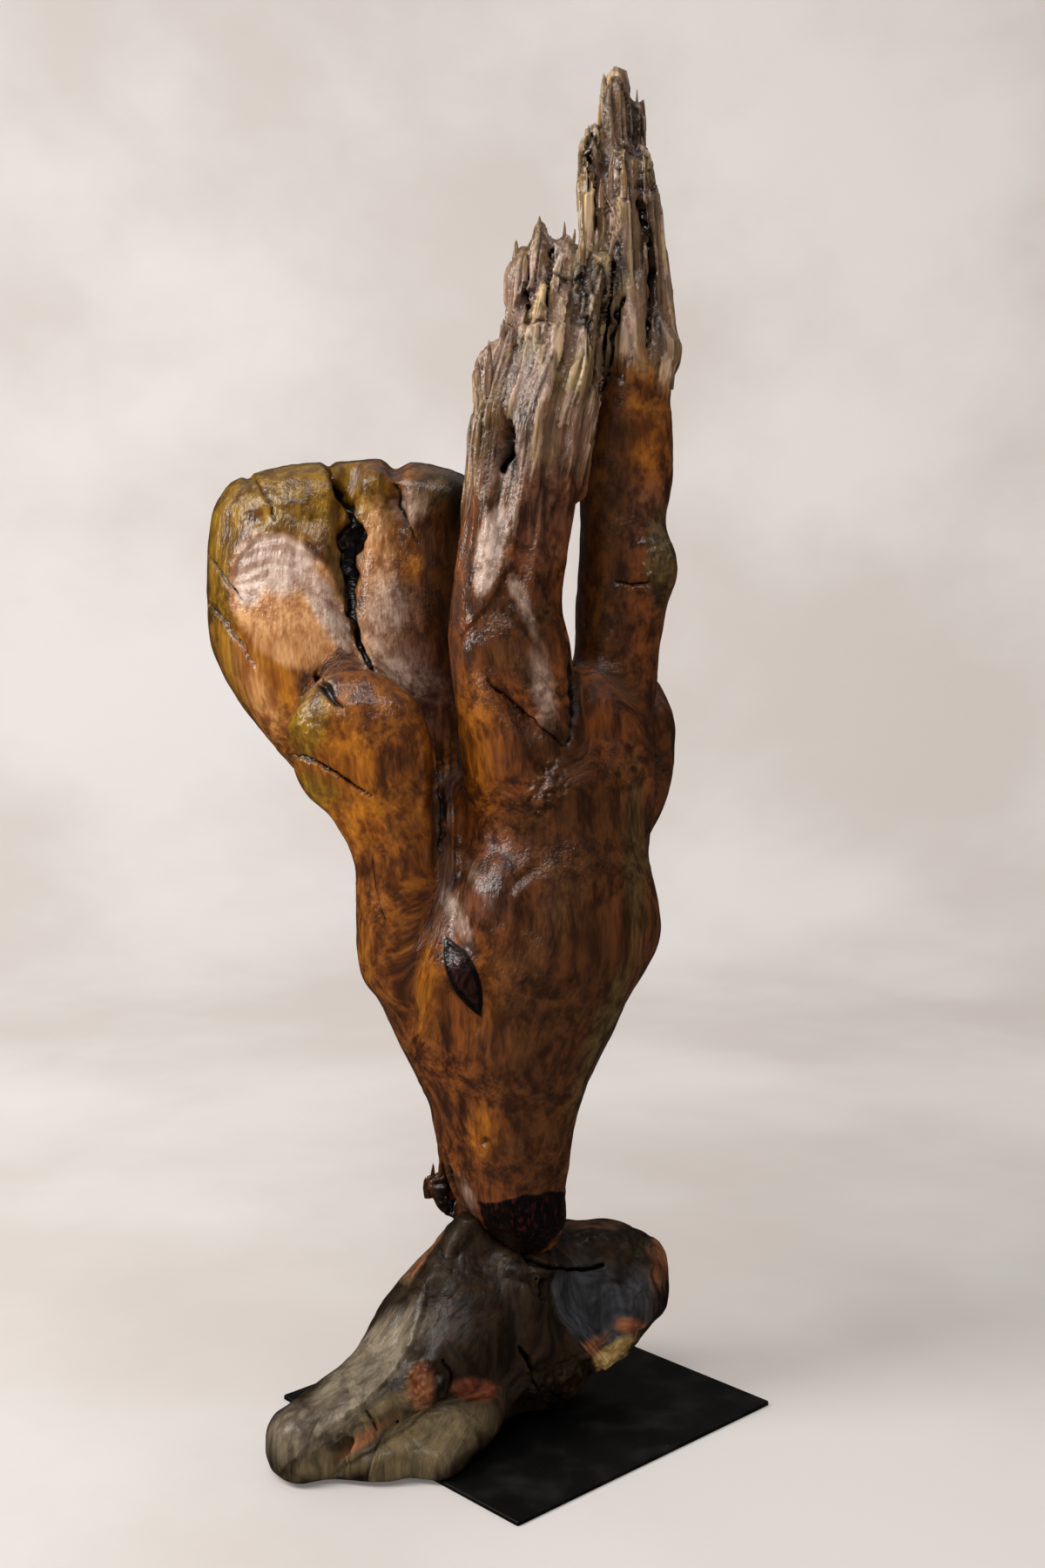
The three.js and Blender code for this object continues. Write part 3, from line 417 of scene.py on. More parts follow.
# Places where the colour changes: [limb, middle, radii, turn, strength], and how soft if not as usual
TINTS = {
    "honey": [
        ("left ear", (360, 1020), (50, 210), -6, 1.2), ("face", (436, 1100), (60, 96), -20, 1.1),
        ("left ear", (400, 880), (34, 60), -10, 0.95), ("neck", (300, 790), (40, 90), -32, 0.9),
        ("neck", (446, 640), (20, 60), 0, 0.5),
        ("right horn", (735, 490), (40, 90), 0, 0.5), ("face", (556, 1300), (22, 36), 0, 0.6),
        ("neck", (474, 655), (22, 14), -40, 0.9, 0.5),
        ("face", (480, 1210), (24, 90), -16, 0.25), ("right ear", (765, 850), (20, 60), 0, 0.3),
        ("left horn", (545, 850), (30, 90), 0, 0.45), ("right horn", (745, 400), (26, 60), 0, 0.6),
        ("left ear", (418, 946), (30, 30), 0, 1.0), ("face", (560, 1140), (30, 60), 0, 0.45),
    ],
    "ochre": [
        ("neck", (330, 568), (100, 56), -8, 1.0), ("neck", (250, 640), (34, 110), 0, 0.85),
        ("left ear", (350, 832), (26, 56), 20, 0.9), ("left ear", (360, 905), (38, 22), 20, 0.8),
        ("neck", (425, 575), (24, 44), 0, 0.8), ("neck", (262, 770), (22, 90), -20, 0.6),
        ("left horn", (575, 420), (16, 60), 0, 0.5), ("right horn", (674, 200), (14, 60), 0, 0.6),
        ("neck", (384, 610), (16, 60), 0, 0.6), ("left horn", (575, 650), (8, 50), 30, 0.4),
    ],
    # Pale pink wood, and mostly painted highlights: the sheen on the oval facet, the streaks on the brow, the
    # ridge of the muzzle and the glints on the left horn.
    "blush_and_highlight": [
        ("neck", (318, 642), (48, 38), 20, 1.0, 0.5), ("neck", (286, 664), (18, 34), 0, 0.9, 0.3),
        ("neck", (372, 694), (16, 60), -28, 0.8, 0.4), ("neck", (440, 700), (28, 60), 0, 0.55),
        ("neck", (450, 770), (50, 30), 10, 0.5), ("face", (536, 1372), (10, 28), -20, 0.5),
        ("face", (524, 1052), (9, 42), -28, 0.6), ("face", (550, 1012), (10, 40), -30, 0.45),
        ("face", (504, 1004), (7, 34), 12, 0.45),
        ("left horn", (563, 630), (16, 54), 12, 1.0, 0.25), ("neck", (472, 580), (22, 26), 0, 0.55),
        ("left horn", (624, 790), (14, 56), -8, 0.5), ("left horn", (600, 690), (9, 56), -20, 0.45),
        ("left horn", (592, 590), (5, 30), 0, 0.5),
    ],
    "peach": [
        ("neck", (330, 690), (58, 82), -28, 1.2, 0.12), ("neck", (432, 640), (20, 70), 0, 0.8),
        ("neck", (300, 690), (24, 40), 0, 0.7), ("neck", (440, 730), (30, 50), 0, 0.6),
        ("neck", (300, 800), (20, 60), -30, 0.5), ("left ear", (352, 1000), (14, 60), 0, 0.3),
    ],
    "plum": [
        ("neck", (480, 790), (46, 90), 0, 0.75), ("neck", (466, 706), (26, 50), 0, 0.7),
        # The spot on the brow in the next line is a painted reflection, the purple sheen of the varnish; the
        # other spots are purple-brown wood.
        ("left horn", (610, 560), (60, 100), 0, 0.6), ("face", (560, 1010), (56, 66), 0, 0.5),
        ("right horn", (735, 590), (34, 50), 0, 0.5),
    ],
    # Dark brown wood; on the right side of the face, the right horn and the ears and in the valley behind the
    # ear it is painted shade, away from the light on the left.
    "umber": [
        ("neck", (292, 590), (10, 14), 30, 0.7, 0.4), ("neck", (360, 634), (16, 8), 50, 0.8, 0.4),
        ("neck", (336, 575), (10, 6), 0, 0.6, 0.4), ("face", (503, 1366), (16, 30), 0, 1.0),
        ("left horn", (600, 760), (14, 60), -30, 0.9), ("neck", (384, 590), (8, 30), 0, 0.6, 0.4),
        ("face", (650, 1160), (90, 180), 0, 0.95), ("face", (610, 1330), (50, 60), 0, 0.7),
        ("right horn", (690, 660), (34, 160), 0, 1.0), ("left horn", (590, 720), (50, 60), 20, 0.9),
        ("face", (660, 960), (70, 100), 0, 0.9), ("neck", (514, 640), (30, 130), 0, 1.1, 0.4),
        ("right horn", (700, 560), (26, 170), 0, 1.0), ("left horn", (640, 880), (40, 60), 0, 0.9),
        ("right horn", (700, 850), (60, 100), 0, 0.9), ("left ear", (515, 900), (24, 110), 0, 0.9),
        ("left ear", (474, 900), (10, 110), 0, 0.4), ("right ear", (770, 880), (40, 90), 0, 0.7),
    ],
    # Greenish-brown crust on the right horn and the neck; the band down the right edge of the face is a
    # painted reflection of the surroundings.
    "olive_and_reflection": [
        ("face", (730, 1000), (16, 130), 0, 0.7), ("face", (694, 1180), (14, 120), 22, 0.7),
        ("right horn", (760, 640), (20, 60), 0, 0.9), ("right horn", (770, 420), (10, 60), 0, 0.5),
        ("face", (640, 1040), (40, 50), 0, 0.3), ("neck", (388, 660), (14, 60), -16, 0.7),
        ("neck", (500, 560), (34, 30), 0, 0.6),
    ],
    # Dark chip and knot wood, and painted shade in holes, splits, the flake's edge and the gap beside the
    # sweep.
    "dark_wood_and_shade": [
        ("face", (512, 1380), (14, 40), 0, 0.85), ("neck", (524, 570), (14, 40), 0, 0.8),
        ("left horn", (584, 515), (8, 28), 0, 0.9), ("left ear", (376, 792), (14, 12), 40, 0.7),
        ("left horn", (634, 905), (12, 22), 0, 0.4), ("right horn", (655, 730), (8, 8), 0, 0.8),
        ("neck", (242, 704), (7, 18), 0, 0.6), ("left horn", (660, 780), (9, 80), 0, 0.7),
        ("neck", (240, 668), (5, 26), 0, 0.5), ("face", (503, 1360), (12, 30), 0, 0.5),
        ("neck", (404, 622), (12, 20), 0, 0.5),
    ],
}
LIMB_TINTS = {  # what limbs have all round, under their patches
    "ochre": {"neck": 0.3}, "honey": {"neck": 0.25, "left ear": 0.4}, "plum": {"left horn": 0.1},
    # On the right ear and the right horn the dark brown all round is painted shade.
    "umber": {"right ear": 0.3, "face": 0.1, "right horn": 0.2},
}

EYE_OUTLINE = ((532, 1121), (15, 48), -24)
NOSE_TOP = ((552, 1380), (650, 1365))
NOSE_BOWL = ((601, 1378), (52, 60))


def eye_field(sheet):
    """The almond's edge: positive inside, in millimetres. Its ends are pointed."""
    (x, y), (half_width, half_length), turn = EYE_OUTLINE
    cos, sin = math.cos(math.radians(turn)), math.sin(math.radians(turn))
    across, down = (sheet - (x, y)).T
    side = across * cos + down * sin
    along = down * cos - across * sin
    return half_width * (1 - (along / half_length) ** 2) - np.abs(side)


def nose_field(sheet, places):
    """The half-moon's edge: positive inside, in millimetres. It is straight on top and ragged all round."""
    (x, y), (half_width, half_height) = NOSE_BOWL
    (left, top), (right, top_right) = NOSE_TOP
    across, down = (sheet - (x, y)).T
    bowl = (1 - np.hypot(across / half_width, down / half_height)) * half_height
    under = sheet[:, 1] - top - (sheet[:, 0] - left) * (top_right - top) / (right - left)
    return np.minimum(bowl, under) + 3.0 * noise(places, 13, 31) + 1.5 * noise(places, 5, 32)


def broken_share(figure, shares):
    """How torn the wood is and how grey, from the smooth head to the splintered tops."""
    up = figure[:, 2] + 34 * noise(figure, 50, 3) + 22 * noise(figure, (14, 14, 60), 4)
    left = shares["left horn"]
    right = shares["right horn"]
    torn = rise(up, 1040, 1120) * left + rise(up, 1170, 1230) * right
    grey = (0.42 * rise(up, 1000, 1070) + 0.58 * rise(up, 1110, 1220)) * left + rise(up, 1120, 1240) * right
    return np.clip(torn, 0, 1), np.clip(grey, 0, 1)


# Torn wood: the width, length and depth of its flutes, and of the split strips that lie over them
BROAD_FLUTES = (15, 420, 4.2)
MIDDLE_FLUTES = (8, 240, 2.4)
WIDE_STRIPS = (13, 230, 2.3)
THIN_STRIPS = (6, 110, 1.4)
OPEN_JOINTS = 3.0  # the depth of a joint between strips
RIDGE_MEAN = 0.62  # what the ridges come to on average, so that flutes neither swell nor thin a horn


def carve_antelope(skin):
    """Works the relief into the skin, and returns what the finish needs to know of each point."""
    figure = figure_places(skin.places)
    shares, fibre = limb_shares(figure, LIMBS)
    torn, grey = broken_share(figure, shares)
    horn = np.clip(shares["left horn"] + shares["right horn"], 0, 1)
    fluted = np.clip(torn + rise(figure[:, 2], 900, 1040) * shares["left horn"], 0, 1)

    # Long flutes up the horns
    warp = np.column_stack([6 * noise(figure, 130, 5), 6 * noise(figure, 130, 6), np.zeros(skin.count)])
    run = fibre + warp
    width, length, depth = BROAD_FLUTES
    broad = ridges(run, (width, width, length), 7)
    height = depth * (broad - RIDGE_MEAN)
    width, length, depth = MIDDLE_FLUTES
    middle = ridges(run, (width, width, length), 8)
    height = (height + depth * (middle - RIDGE_MEAN)) * (0.1 * horn + 0.9 * fluted)

    # Split layers over them: strips that stand at different heights and end in snapped steps
    run[:, 2] += 8 * noise(figure, 6, 9)
    run[:, :2] += 1.6 * np.column_stack([noise(figure, (9, 9, 50), 10), noise(figure, (9, 9, 50), 11)])
    width, length, wide_depth = WIDE_STRIPS
    wide_layer, wide_edge = strips(run, width, length, 12)
    width, length, thin_depth = THIN_STRIPS
    thin_layer, thin_edge = strips(run + 40, width, length, 14)
    open_joint = rise(noise(figure, (24, 24, 110), 16), 0.0, 0.35)
    gap = np.maximum(rise(wide_edge, 1.6, 0.3) * open_joint, 0.4 * rise(thin_edge, 1.1, 0.2) * open_joint)
    height += (wide_depth * wide_layer + thin_depth * thin_layer - OPEN_JOINTS * gap) * torn

    # Worn waves, dents and tool marks of the smooth wood
    waves = 1.5 * noise(figure, 42, 17) + 0.8 * noise(fibre, (17, 17, 34), 18)
    dents = 0.5 * noise(fibre, (8, 8, 14), 19) + 0.22 * noise(fibre, (4, 4, 9), 20)
    height += (waves + dents) * (1 - 0.85 * fluted)
    skin.swell(height)

    sheet = on_sheet(skin.places)
    front = front_share(skin)
    ragged = sheet + np.column_stack([2.6 * noise(figure, 11, 21), 2.6 * noise(figure, 11, 22)])

    # Ledges of split layers, and the terraces that the oval facet is cut through
    height = ledge_heights(ragged, LEDGES, 1.2)
    middle_of_oval, radii, turn = OVAL
    oval = patch(sheet, middle_of_oval, radii, turn, 0.15) * shares["neck"]
    terraces = np.sin(figure[:, 2] / 2.6 + 8.0 * noise(figure, 40, 23) + 2.0 * noise(figure, 12, 24))
    height += 0.6 * terraces * oval * rise(sheet[:, 1], 720, 660)

    # Ripples of the glossy lobe under the sweep, and folds round the brow and behind the ear
    lobe = patch(sheet, (622, 770), (32, 100), -12, 0.4) * shares["left horn"]
    swirl = (sheet[:, 1] * 0.62 - 0.78 * sheet[:, 0]) / 2.1 + 3.6 * noise(figure, 34, 26)
    height += 1.7 * np.sin(swirl) * lobe
    brow = patch(sheet, (560, 1010), (66, 80), -15, 0.5) * shares["face"]
    folds = np.sin((sheet[:, 0] + 0.5 * sheet[:, 1]) / 5.5 + 4 * noise(figure, 36, 27))
    height += (1.1 * folds + 1.4 * noise(figure, 15, 28)) * brow
    behind_ear = patch(sheet, (517, 905), (22, 100), 0, 0.5)
    height += 1.6 * np.sin(sheet[:, 0] / 1.7 + 2.4 * noise(figure, 50, 29)) * behind_ear
    in_ear = patch(sheet, (425, 905), (44, 90), -6, 0.5) * shares["left ear"]
    height += (2.6 * ridges(fibre, (10, 10, 60), 30) - 1.6) * in_ear
    lumps = ridges(figure, 9, 33) + 0.6 * ridges(figure, 5, 34) - 0.8
    for middle_of_crust, radii, turn, size in CRUSTS:
        height += size * lumps * patch(ragged, middle_of_crust, radii, turn, 0.4)
    height *= front

    # Checks, shakes and splits
    line_edge = np.full(skin.count, 9.0)
    line_near = np.zeros(skin.count)
    cut = np.zeros(skin.count)
    uneven = 1 + 0.45 * noise(figure, 14, 25)
    for line, depth in CRACKS.values():
        away, _, width = line_distance(ragged, line)
        width = width * uneven
        cut = np.maximum(cut, depth * rise(away, width + 1.6, width * 0.3) * front)
        near = rise(away, 9, 5) * front
        taken = near > line_near
        line_edge[taken] = np.maximum(away - width * 0.5, -3)[taken]
        line_near[taken] = near[taken]
    for middle_of_pit, radii, depth in PITS.values():
        cut = np.maximum(cut, depth * patch(ragged, middle_of_pit, radii, 0, 0.35) * front)
    for line, depth in FURROWS.values():
        away, _, width = line_distance(sheet, line)
        height -= depth * rise(away, 2 * width, 0)
    skin.swell(height - cut)

    # The eye's rim and the wet patch of the nose
    sheet = on_sheet(skin.places)
    eye = np.where(front > 0.3, eye_field(sheet), -20)
    nose = np.where(front > 0.02, nose_field(sheet, figure), -20)
    skin.swell(2.4 * rise(np.abs(eye - 1.5), 4.0, 0.5) * rise(eye, -8, -2)
               + 1.6 * rise(nose, -2.5, 2.5) - 0.8 * ridges(figure, 9, 35) * rise(nose, -1, 3))

    tints = tint_marks(ragged, front, shares, TINTS, 0.7, (0.15, 0.6))
    for name, given in LIMB_TINTS.items():
        all_round = sum(strength * shares[limb] for limb, strength in given.items())
        tints[name] = np.maximum(tints[name], all_round)
    # The ochre bark ends sharply round the oval facet, so none of the pale tint and painted highlight shows
    # through it
    bark = shares["neck"] * (1 - oval) * rise(sheet[:, 1], 720, 680) * rise(sheet[:, 0], 420, 385)
    tints["blush_and_highlight"] *= 1 - bark
    # Deep furrows of the flutes and open joints between strips are darkened in the finish: painted shade in
    # the grooves.
    furrow = rise(0.6 * (1 - middle) + 0.5 * (1 - broad), 0.6, 1.0) * 0.8
    # Where the cuts go deep they are drawn dark: painted shade in the holes and cracks.
    tints["dark_wood_and_shade"] = np.maximum(tints["dark_wood_and_shade"], 0.85 * rise(cut, 4, 10))
    return {
        "fibre": fibre,
        **tints,
        "weathered": np.clip(grey + 0.2 * fluted, 0, 1),
        # The strips that stand higher get a higher value, and so a paler colour: a painted highlight on their
        # raised faces.
        "strip": 0.5 + 0.34 * wide_layer + 0.16 * thin_layer,
        "crevice_shade": np.clip(furrow * fluted + gap * torn, 0, 1),
        "line": line_edge,
        "line_near": line_near,
        "eye": np.clip(eye, -20, 20),
        "nose": np.clip(nose, -20, 20),
    }


# Splinters of the broken horns and of the chip at the muzzle:
# [tip's right and down, deep, width, length, lean to the right]
SPLINTERS = [
    (548, 412, -66, 6, 34, -1), (561, 391, -62, 9, 60, 1), (570, 402, -44, 5, 30, 0),
    (578, 366, -50, 6, 36, 1), (592, 276, -34, 11, 60, -2), (603, 290, -52, 6, 30, 1),
    (619, 248, -30, 12, 70, 1), (632, 270, -20, 5, 40, 0), (640, 274, -10, 6, 26, 0),
    (648, 254, -24, 5, 44, 1), (660, 263, -16, 4, 26, 3), (668, 272, -44, 10, 30, 0),
    (675, 144, 20, 4, 34, 0), (666, 164, 26, 6, 30, -1), (693, 84, 30, 9, 50, -2), (705, 75, 34, 12, 60, 0),
    (731, 103, 44, 4, 50, 0), (738, 132, 40, 5, 44, 2), (701, 192, -4, 7, 34, 0), (716, 184, -2, 7, 40, 0),
    (690, 206, -6, 6, 30, 0), (685, 262, -12, 6, 34, 0), (746, 176, 38, 5, 50, 2), (772, 416, 34, 8, 30, 3),
    (585, 300, -20, 6, 50, -1), (612, 268, -4, 6, 40, 0), (655, 280, -6, 7, 30, 0), (720, 96, 60, 6, 50, 0),
    (664, 190, 50, 6, 50, -1), (600, 300, 10, 7, 50, 0), (630, 296, 16, 8, 40, 0), (700, 96, 56, 7, 50, 0),
    (497, 1336, -6, 7, 40, 2), (506, 1322, -12, 6, 60, 2), (488, 1352, -8, 8, 24, -3),
    (575, 372, -20, 6, 50, 0), (556, 420, -30, 7, 50, 0), (586, 352, 4, 7, 50, 0), (650, 300, 12, 7, 40, 0),
]
SPLINTER_RINGS = [(0.0, 1.0), (0.5, 1.0), (0.7, 0.82), (0.86, 0.5), (0.95, 0.28), (1.0, 0.06)]


def splinters(facts):
    """Slivers of the horns, each a flat bar of split wood with a snapped and pointed end."""
    SIDES = 6
    draw = np.random.default_rng(11)
    rings = []
    faces = []
    for right, down, deep, width, length, lean in SPLINTERS:
        tip = off_sheet(right, down, deep)
        first = len(rings) * SIDES
        for share, size in SPLINTER_RINGS:
            middle = tip - [lean * (1 - share), 0, length * (1 - share)]
            turn = 2 * math.pi * np.arange(SIDES) / SIDES
            wide = size * width / 2 * draw.uniform(0.85, 1.15, SIDES)
            rings.append(middle + np.column_stack([
                wide * np.cos(turn), 0.6 * wide * np.sin(turn), (1 - size) * draw.uniform(-2, 2, SIDES)]))
        for ring in range(len(SPLINTER_RINGS) - 1):
            for k in range(SIDES):
                a, b = first + ring * SIDES + k, first + ring * SIDES + (k + 1) % SIDES
                faces.append((a, b, b + SIDES, a + SIDES))
        last = first + (len(SPLINTER_RINGS) - 1) * SIDES
        faces.append(tuple(reversed(range(first, first + SIDES))))
        faces.append(tuple(range(last, last + SIDES)))
    figure = np.concatenate(rings)
    places = in_box(world_places(figure), "antelope")
    mesh = bpy.data.meshes.new("slivers")
    mesh.from_pydata((places * MM).tolist(), [], faces)
    _, fibre = limb_shares(figure, LIMBS)
    count = len(places)
    own = {name: np.zeros(count) for name in facts}
    high = rise(figure[:, 2], 900, 1000)
    own.update(fibre=fibre, weathered=high, umber=1 - high, strip=draw.uniform(0.2, 0.8, count),
               line=np.full(count, 9.0), eye=np.full(count, -20.0), nose=np.full(count, -20.0))
    keep(mesh, own)
    return new_piece("slivers", mesh)


def join_to(piece, other):
    """The other piece's mesh becomes a part of this one."""
    both = [piece, other]
    with bpy.context.temp_override(active_object=piece, object=piece, selected_objects=both,
                                   selected_editable_objects=both):
        bpy.ops.object.join()


def keep(mesh, facts):
    """Stores what is known of each point, for the finish to read."""
    for name, values in facts.items():
        if values.ndim == 2:
            stored = mesh.attributes.new(name, "FLOAT_VECTOR", "POINT")
            stored.data.foreach_set("vector", values.astype(np.float32).ravel())
        else:
            stored = mesh.attributes.new(name, "FLOAT", "POINT")
            stored.data.foreach_set("value", values.astype(np.float32))


def thin_out(piece, triangles):
    """Fewer triangles where the surface is plain."""
    whole = 2 * len(piece.data.polygons)  # each square counts as two
    mesh = shaped_by(piece, "DECIMATE", ratio=triangles / whole, use_collapse_triangulate=True)
    mesh.polygons.foreach_set("use_smooth", [True] * len(mesh.polygons))
    mesh.update()


def in_box(places, node):
    """No place leaves the CAD node's own box."""
    low, high = (np.array(corner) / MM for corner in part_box(node))
    return np.clip(places, low, high)


# Finishes

def add(tree, kind, sockets=None, **settings):
    """A shader node with its settings, its values and its links."""
    made = tree.nodes.new("ShaderNode" + kind)
    for name, value in settings.items():
        setattr(made, name, value)
    for name, value in (sockets or {}).items():
        if isinstance(value, bpy.types.NodeSocket):
            tree.links.new(value, made.inputs[name])
        else:
            made.inputs[name].default_value = value
    return made


def new_finish(name):
    finish = bpy.data.materials.new(name)
    finish.use_nodes = True
    tree = finish.node_tree
    tree.nodes.clear()
    return finish, tree


# Settings of nodes: they blend colours, darken by a colour, step smoothly, or take a value times another
# plus a third
COLOURS = {"data_type": "RGBA"}
DARKEN = {"data_type": "RGBA", "blend_type": "MULTIPLY"}
SMOOTH = {"interpolation_type": "SMOOTHSTEP"}
TIMES_PLUS = {"operation": "MULTIPLY_ADD"}


def grain_patterns(tree, fibre, patterns):
    """Noise drawn out along the fibres. Each pattern is [width, length, roughness] in millimetres."""
    made = {}
    for name, (width, length, detail) in patterns.items():
        drawn_out = (1 / width, 1 / width, 1 / length)
        drawn = add(tree, "VectorMath", {0: fibre, 1: drawn_out}, operation="MULTIPLY")
        grain = add(tree, "TexNoise", {"Vector": drawn.outputs[0], "Scale": 1.0, "Detail": detail})
        made[name] = grain.outputs["Fac"]
    return made


def tinted(tree, colour, tints, read, grain, tone, blotched):
    """The colour with each tint laid over it where it is marked, with an edge that the grain breaks."""
    for name, (plain, flecked, ragged) in tints.items():
        wander = add(tree, "Math", {0: grain["patch"], 1: ragged, 2: read[name]}, **TIMES_PLUS).outputs[0]
        wander = add(tree, "Math", {0: tone, 1: ragged * 0.6, 2: wander}, **TIMES_PLUS).outputs[0]
        cover = add(tree, "MapRange", {0: wander, 1: 0.1 + ragged, 2: 0.9 + ragged}, **SMOOTH).outputs[0]
        tint = add(tree, "Mix", {0: blotched, 6: linear(plain), 7: linear(flecked)}, **COLOURS).outputs[2]
        colour = add(tree, "Mix", {0: cover, 6: colour, 7: tint}, **COLOURS).outputs[2]
    return colour


ANTELOPE_TINTS = {  # [plain colour, flecked colour, how much the grain breaks its edge]
    "honey": ("#944e06", "#b87212", 0.5),
    "ochre": ("#6e4906", "#96700e", 0.5),
    "peach": ("#ba7840", "#d6a26c", 0.4),
    "plum": ("#4e2f24", "#765040", 0.6),
    "umber": ("#3e2109", "#5c3411", 0.5),
    "blush_and_highlight": ("#b08a74", "#d8c0b0", 0.4),
    "olive_and_reflection": ("#443214", "#66502a", 0.5),
}


def oiled_driftwood():
    """Driftwood, carved, sanded, oiled and varnished: deep brown with honey sapwood under a wet gloss.
    The splintered tops stay grey-brown, with painted shade darkening their grooves, hollows and cracks, and
    paler raised strips as painted highlights."""
    finish, tree = new_finish("oiled_driftwood")
    marks = ["weathered", "strip", "dark_wood_and_shade", "crevice_shade", "line", "line_near", "eye", "nose"]
    read = {name: add(tree, "Attribute", attribute_name=name).outputs["Fac"]
            for name in [*ANTELOPE_TINTS, *marks]}
    fibre = add(tree, "Attribute", attribute_name="fibre").outputs["Vector"]
    # The real pores are 0.3 mm wide. They are drawn at 1.6 mm so that they show.
    grain = grain_patterns(tree, fibre, {
        "hair": (1.6, 30, 3), "streak": (4, 46, 4), "mottle": (16, 24, 5), "patch": (38, 60, 5),
        "fleck": (5, 8, 4), "ripple": (3.4, 4.6, 3),
    })
    tone = add(tree, "Math", {0: grain["fleck"], 1: 0.5, 2: grain["mottle"]}, **TIMES_PLUS).outputs[0]
    # The grain's streaks break the edges of the split strips and of the bare wood
    strip = add(tree, "Math", {0: grain["streak"], 1: 0.9, 2: read["strip"]}, **TIMES_PLUS).outputs[0]
    bare = add(tree, "Math", {0: grain["streak"], 1: 0.9, 2: read["weathered"]}, **TIMES_PLUS).outputs[0]
    step = {}
    for name, value, low, high in [
            ("blotched", tone, 0.55, 0.95), ("strip", strip, 0.45, 0.95), ("pale strip", strip, 0.95, 1.4),
            ("patch", grain["patch"], 0.4, 0.6), ("bare", bare, 0.7, 1.25), ("hair", grain["hair"], 0.3, 0.7),
            ("dark_wood_and_shade", read["dark_wood_and_shade"], 0.25, 0.9), ("crack", read["line"], 1.0, 0.0),
            ("near a line", read["line_near"], 0.3, 0.7), ("nose", read["nose"], -1.0, 1.4),
            ("ripple", grain["ripple"], 0.5, 0.75), ("eye's rim", read["eye"], -2.6, -1.4),
            ("eyeball", read["eye"], 3.0, 6.0), ("streak", grain["streak"], 0.38, 0.64)]:
        step[name] = add(tree, "MapRange", {0: value, 1: low, 2: high}, **SMOOTH).outputs[0]
    pair = {}
    for name, share, first, second in [
            ("wood", "blotched", "#43210a", "#7c4212"), ("split", "strip", "#463224", "#947c66"),
            ("hue", "patch", "#ece0b4", "#f2e2de"), ("wet", "ripple", "#060405", "#4a0f0b"),
            ("pupil", "streak", "#170a08", "#3c1a14")]:
        mixed = add(tree, "Mix", {0: step[share], 6: linear(first), 7: linear(second)}, **COLOURS)
        pair[name] = mixed.outputs[2]
    # Split wood: each strip has its own grey-brown, and the strips that stand higher are paler, a painted
    # highlight on their raised faces
    pale = step["pale strip"]
    split = add(tree, "Mix", {0: pale, 6: pair["split"], 7: linear("#e0ccb8")}, **COLOURS).outputs[2]
    split = add(tree, "Mix", {0: 1.0, 6: split, 7: pair["hue"]}, **DARKEN).outputs[2]
    blotch = add(tree, "MapRange", {0: tone, 1: 0.55, 2: 0.95, 3: 0.72, 4: 1.16}).outputs[0]
    shade = add(tree, "MapRange", {0: step["hair"], 3: 0.88, 4: 1.07}).outputs[0]
    # The cracks are drawn near black along their lines: painted shade inside them.
    crack = add(tree, "Math", {0: step["crack"], 1: step["near a line"]}, operation="MULTIPLY").outputs[0]
    ball = step["eyeball"]
    eye = add(tree, "Mix", {0: ball, 6: linear("#040405"), 7: pair["pupil"]}, **COLOURS).outputs[2]
    colour = tinted(tree, pair["wood"], ANTELOPE_TINTS, read, grain, tone, step["blotched"])
    # Painted shade goes over the wood and the tints in the grooves, the hollows and the cracks; then come the
    # nose and the eye.
    for share, over, blend in [
            (step["bare"], split, COLOURS), (1.0, blotch, DARKEN), (1.0, shade, DARKEN),
            (read["crevice_shade"], linear("#24160c"), COLOURS), (step["dark_wood_and_shade"], linear("#140b05"), COLOURS),
            (crack, linear("#0b0705"), COLOURS), (step["nose"], pair["wet"], COLOURS),
            (step["eye's rim"], eye, COLOURS)]:
        colour = add(tree, "Mix", {0: share, 6: colour, 7: over}, **blend).outputs[2]

    hair = add(tree, "Math", {0: grain["hair"], 1: 0.4, 2: grain["streak"]}, **TIMES_PLUS).outputs[0]
    height = add(tree, "Math", {0: grain["ripple"], 1: 1.6, 2: hair}, **TIMES_PLUS).outputs[0]
    bump = add(tree, "Bump", {"Strength": 0.7, "Distance": 1.0 * MM, "Height": height})
    coat_bump = add(tree, "Bump", {"Strength": 0.8, "Distance": 0.9 * MM, "Height": height})
    rough = add(tree, "MapRange", {0: grain["mottle"], 3: 0.4, 4: 0.6})
    wood = add(tree, "BsdfPrincipled", {
        "Base Color": colour, "Roughness": rough.outputs[0], "IOR": 1.5, "Specular IOR Level": 0.2,
        "Coat Weight": 1.0, "Coat Roughness": 0.13, "Coat IOR": 1.5, "Normal": bump.outputs[0],
        "Coat Normal": coat_bump.outputs[0],
    })
    add(tree, "OutputMaterial", {"Surface": wood.outputs[0]})
    return finish


def wear(skin):
    """Wear rounds the head and spares the splintered tops."""
    return 1 - 0.75 * rise(figure_places(skin.places)[:, 2], 1080, 1200)


def soft_creases(skin):
    """Where a crease of the CAD form is worn softer than the rest."""
    sheet = on_sheet(skin.places)
    return np.maximum.reduce([patch(sheet, *crease) for crease in CREASES]) * front_share(skin, -0.1, 0.1)


def make_antelope():
    piece, skin = even_skin("antelope", "carved_antelope", CARVING_SKIN, 50, wear, soft_creases)
    facts = carve_antelope(skin)
    set_places(skin.mesh, in_box(skin.places, "antelope"))
    keep(skin.mesh, facts)
    slivers = splinters(facts)
    thin_out(piece, CARVING_TRIANGLES)
    join_to(piece, slivers)
    piece.data.materials.clear()
    piece.data.materials.append(oiled_driftwood())
    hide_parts("antelope")
    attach(piece, "root")
    return piece


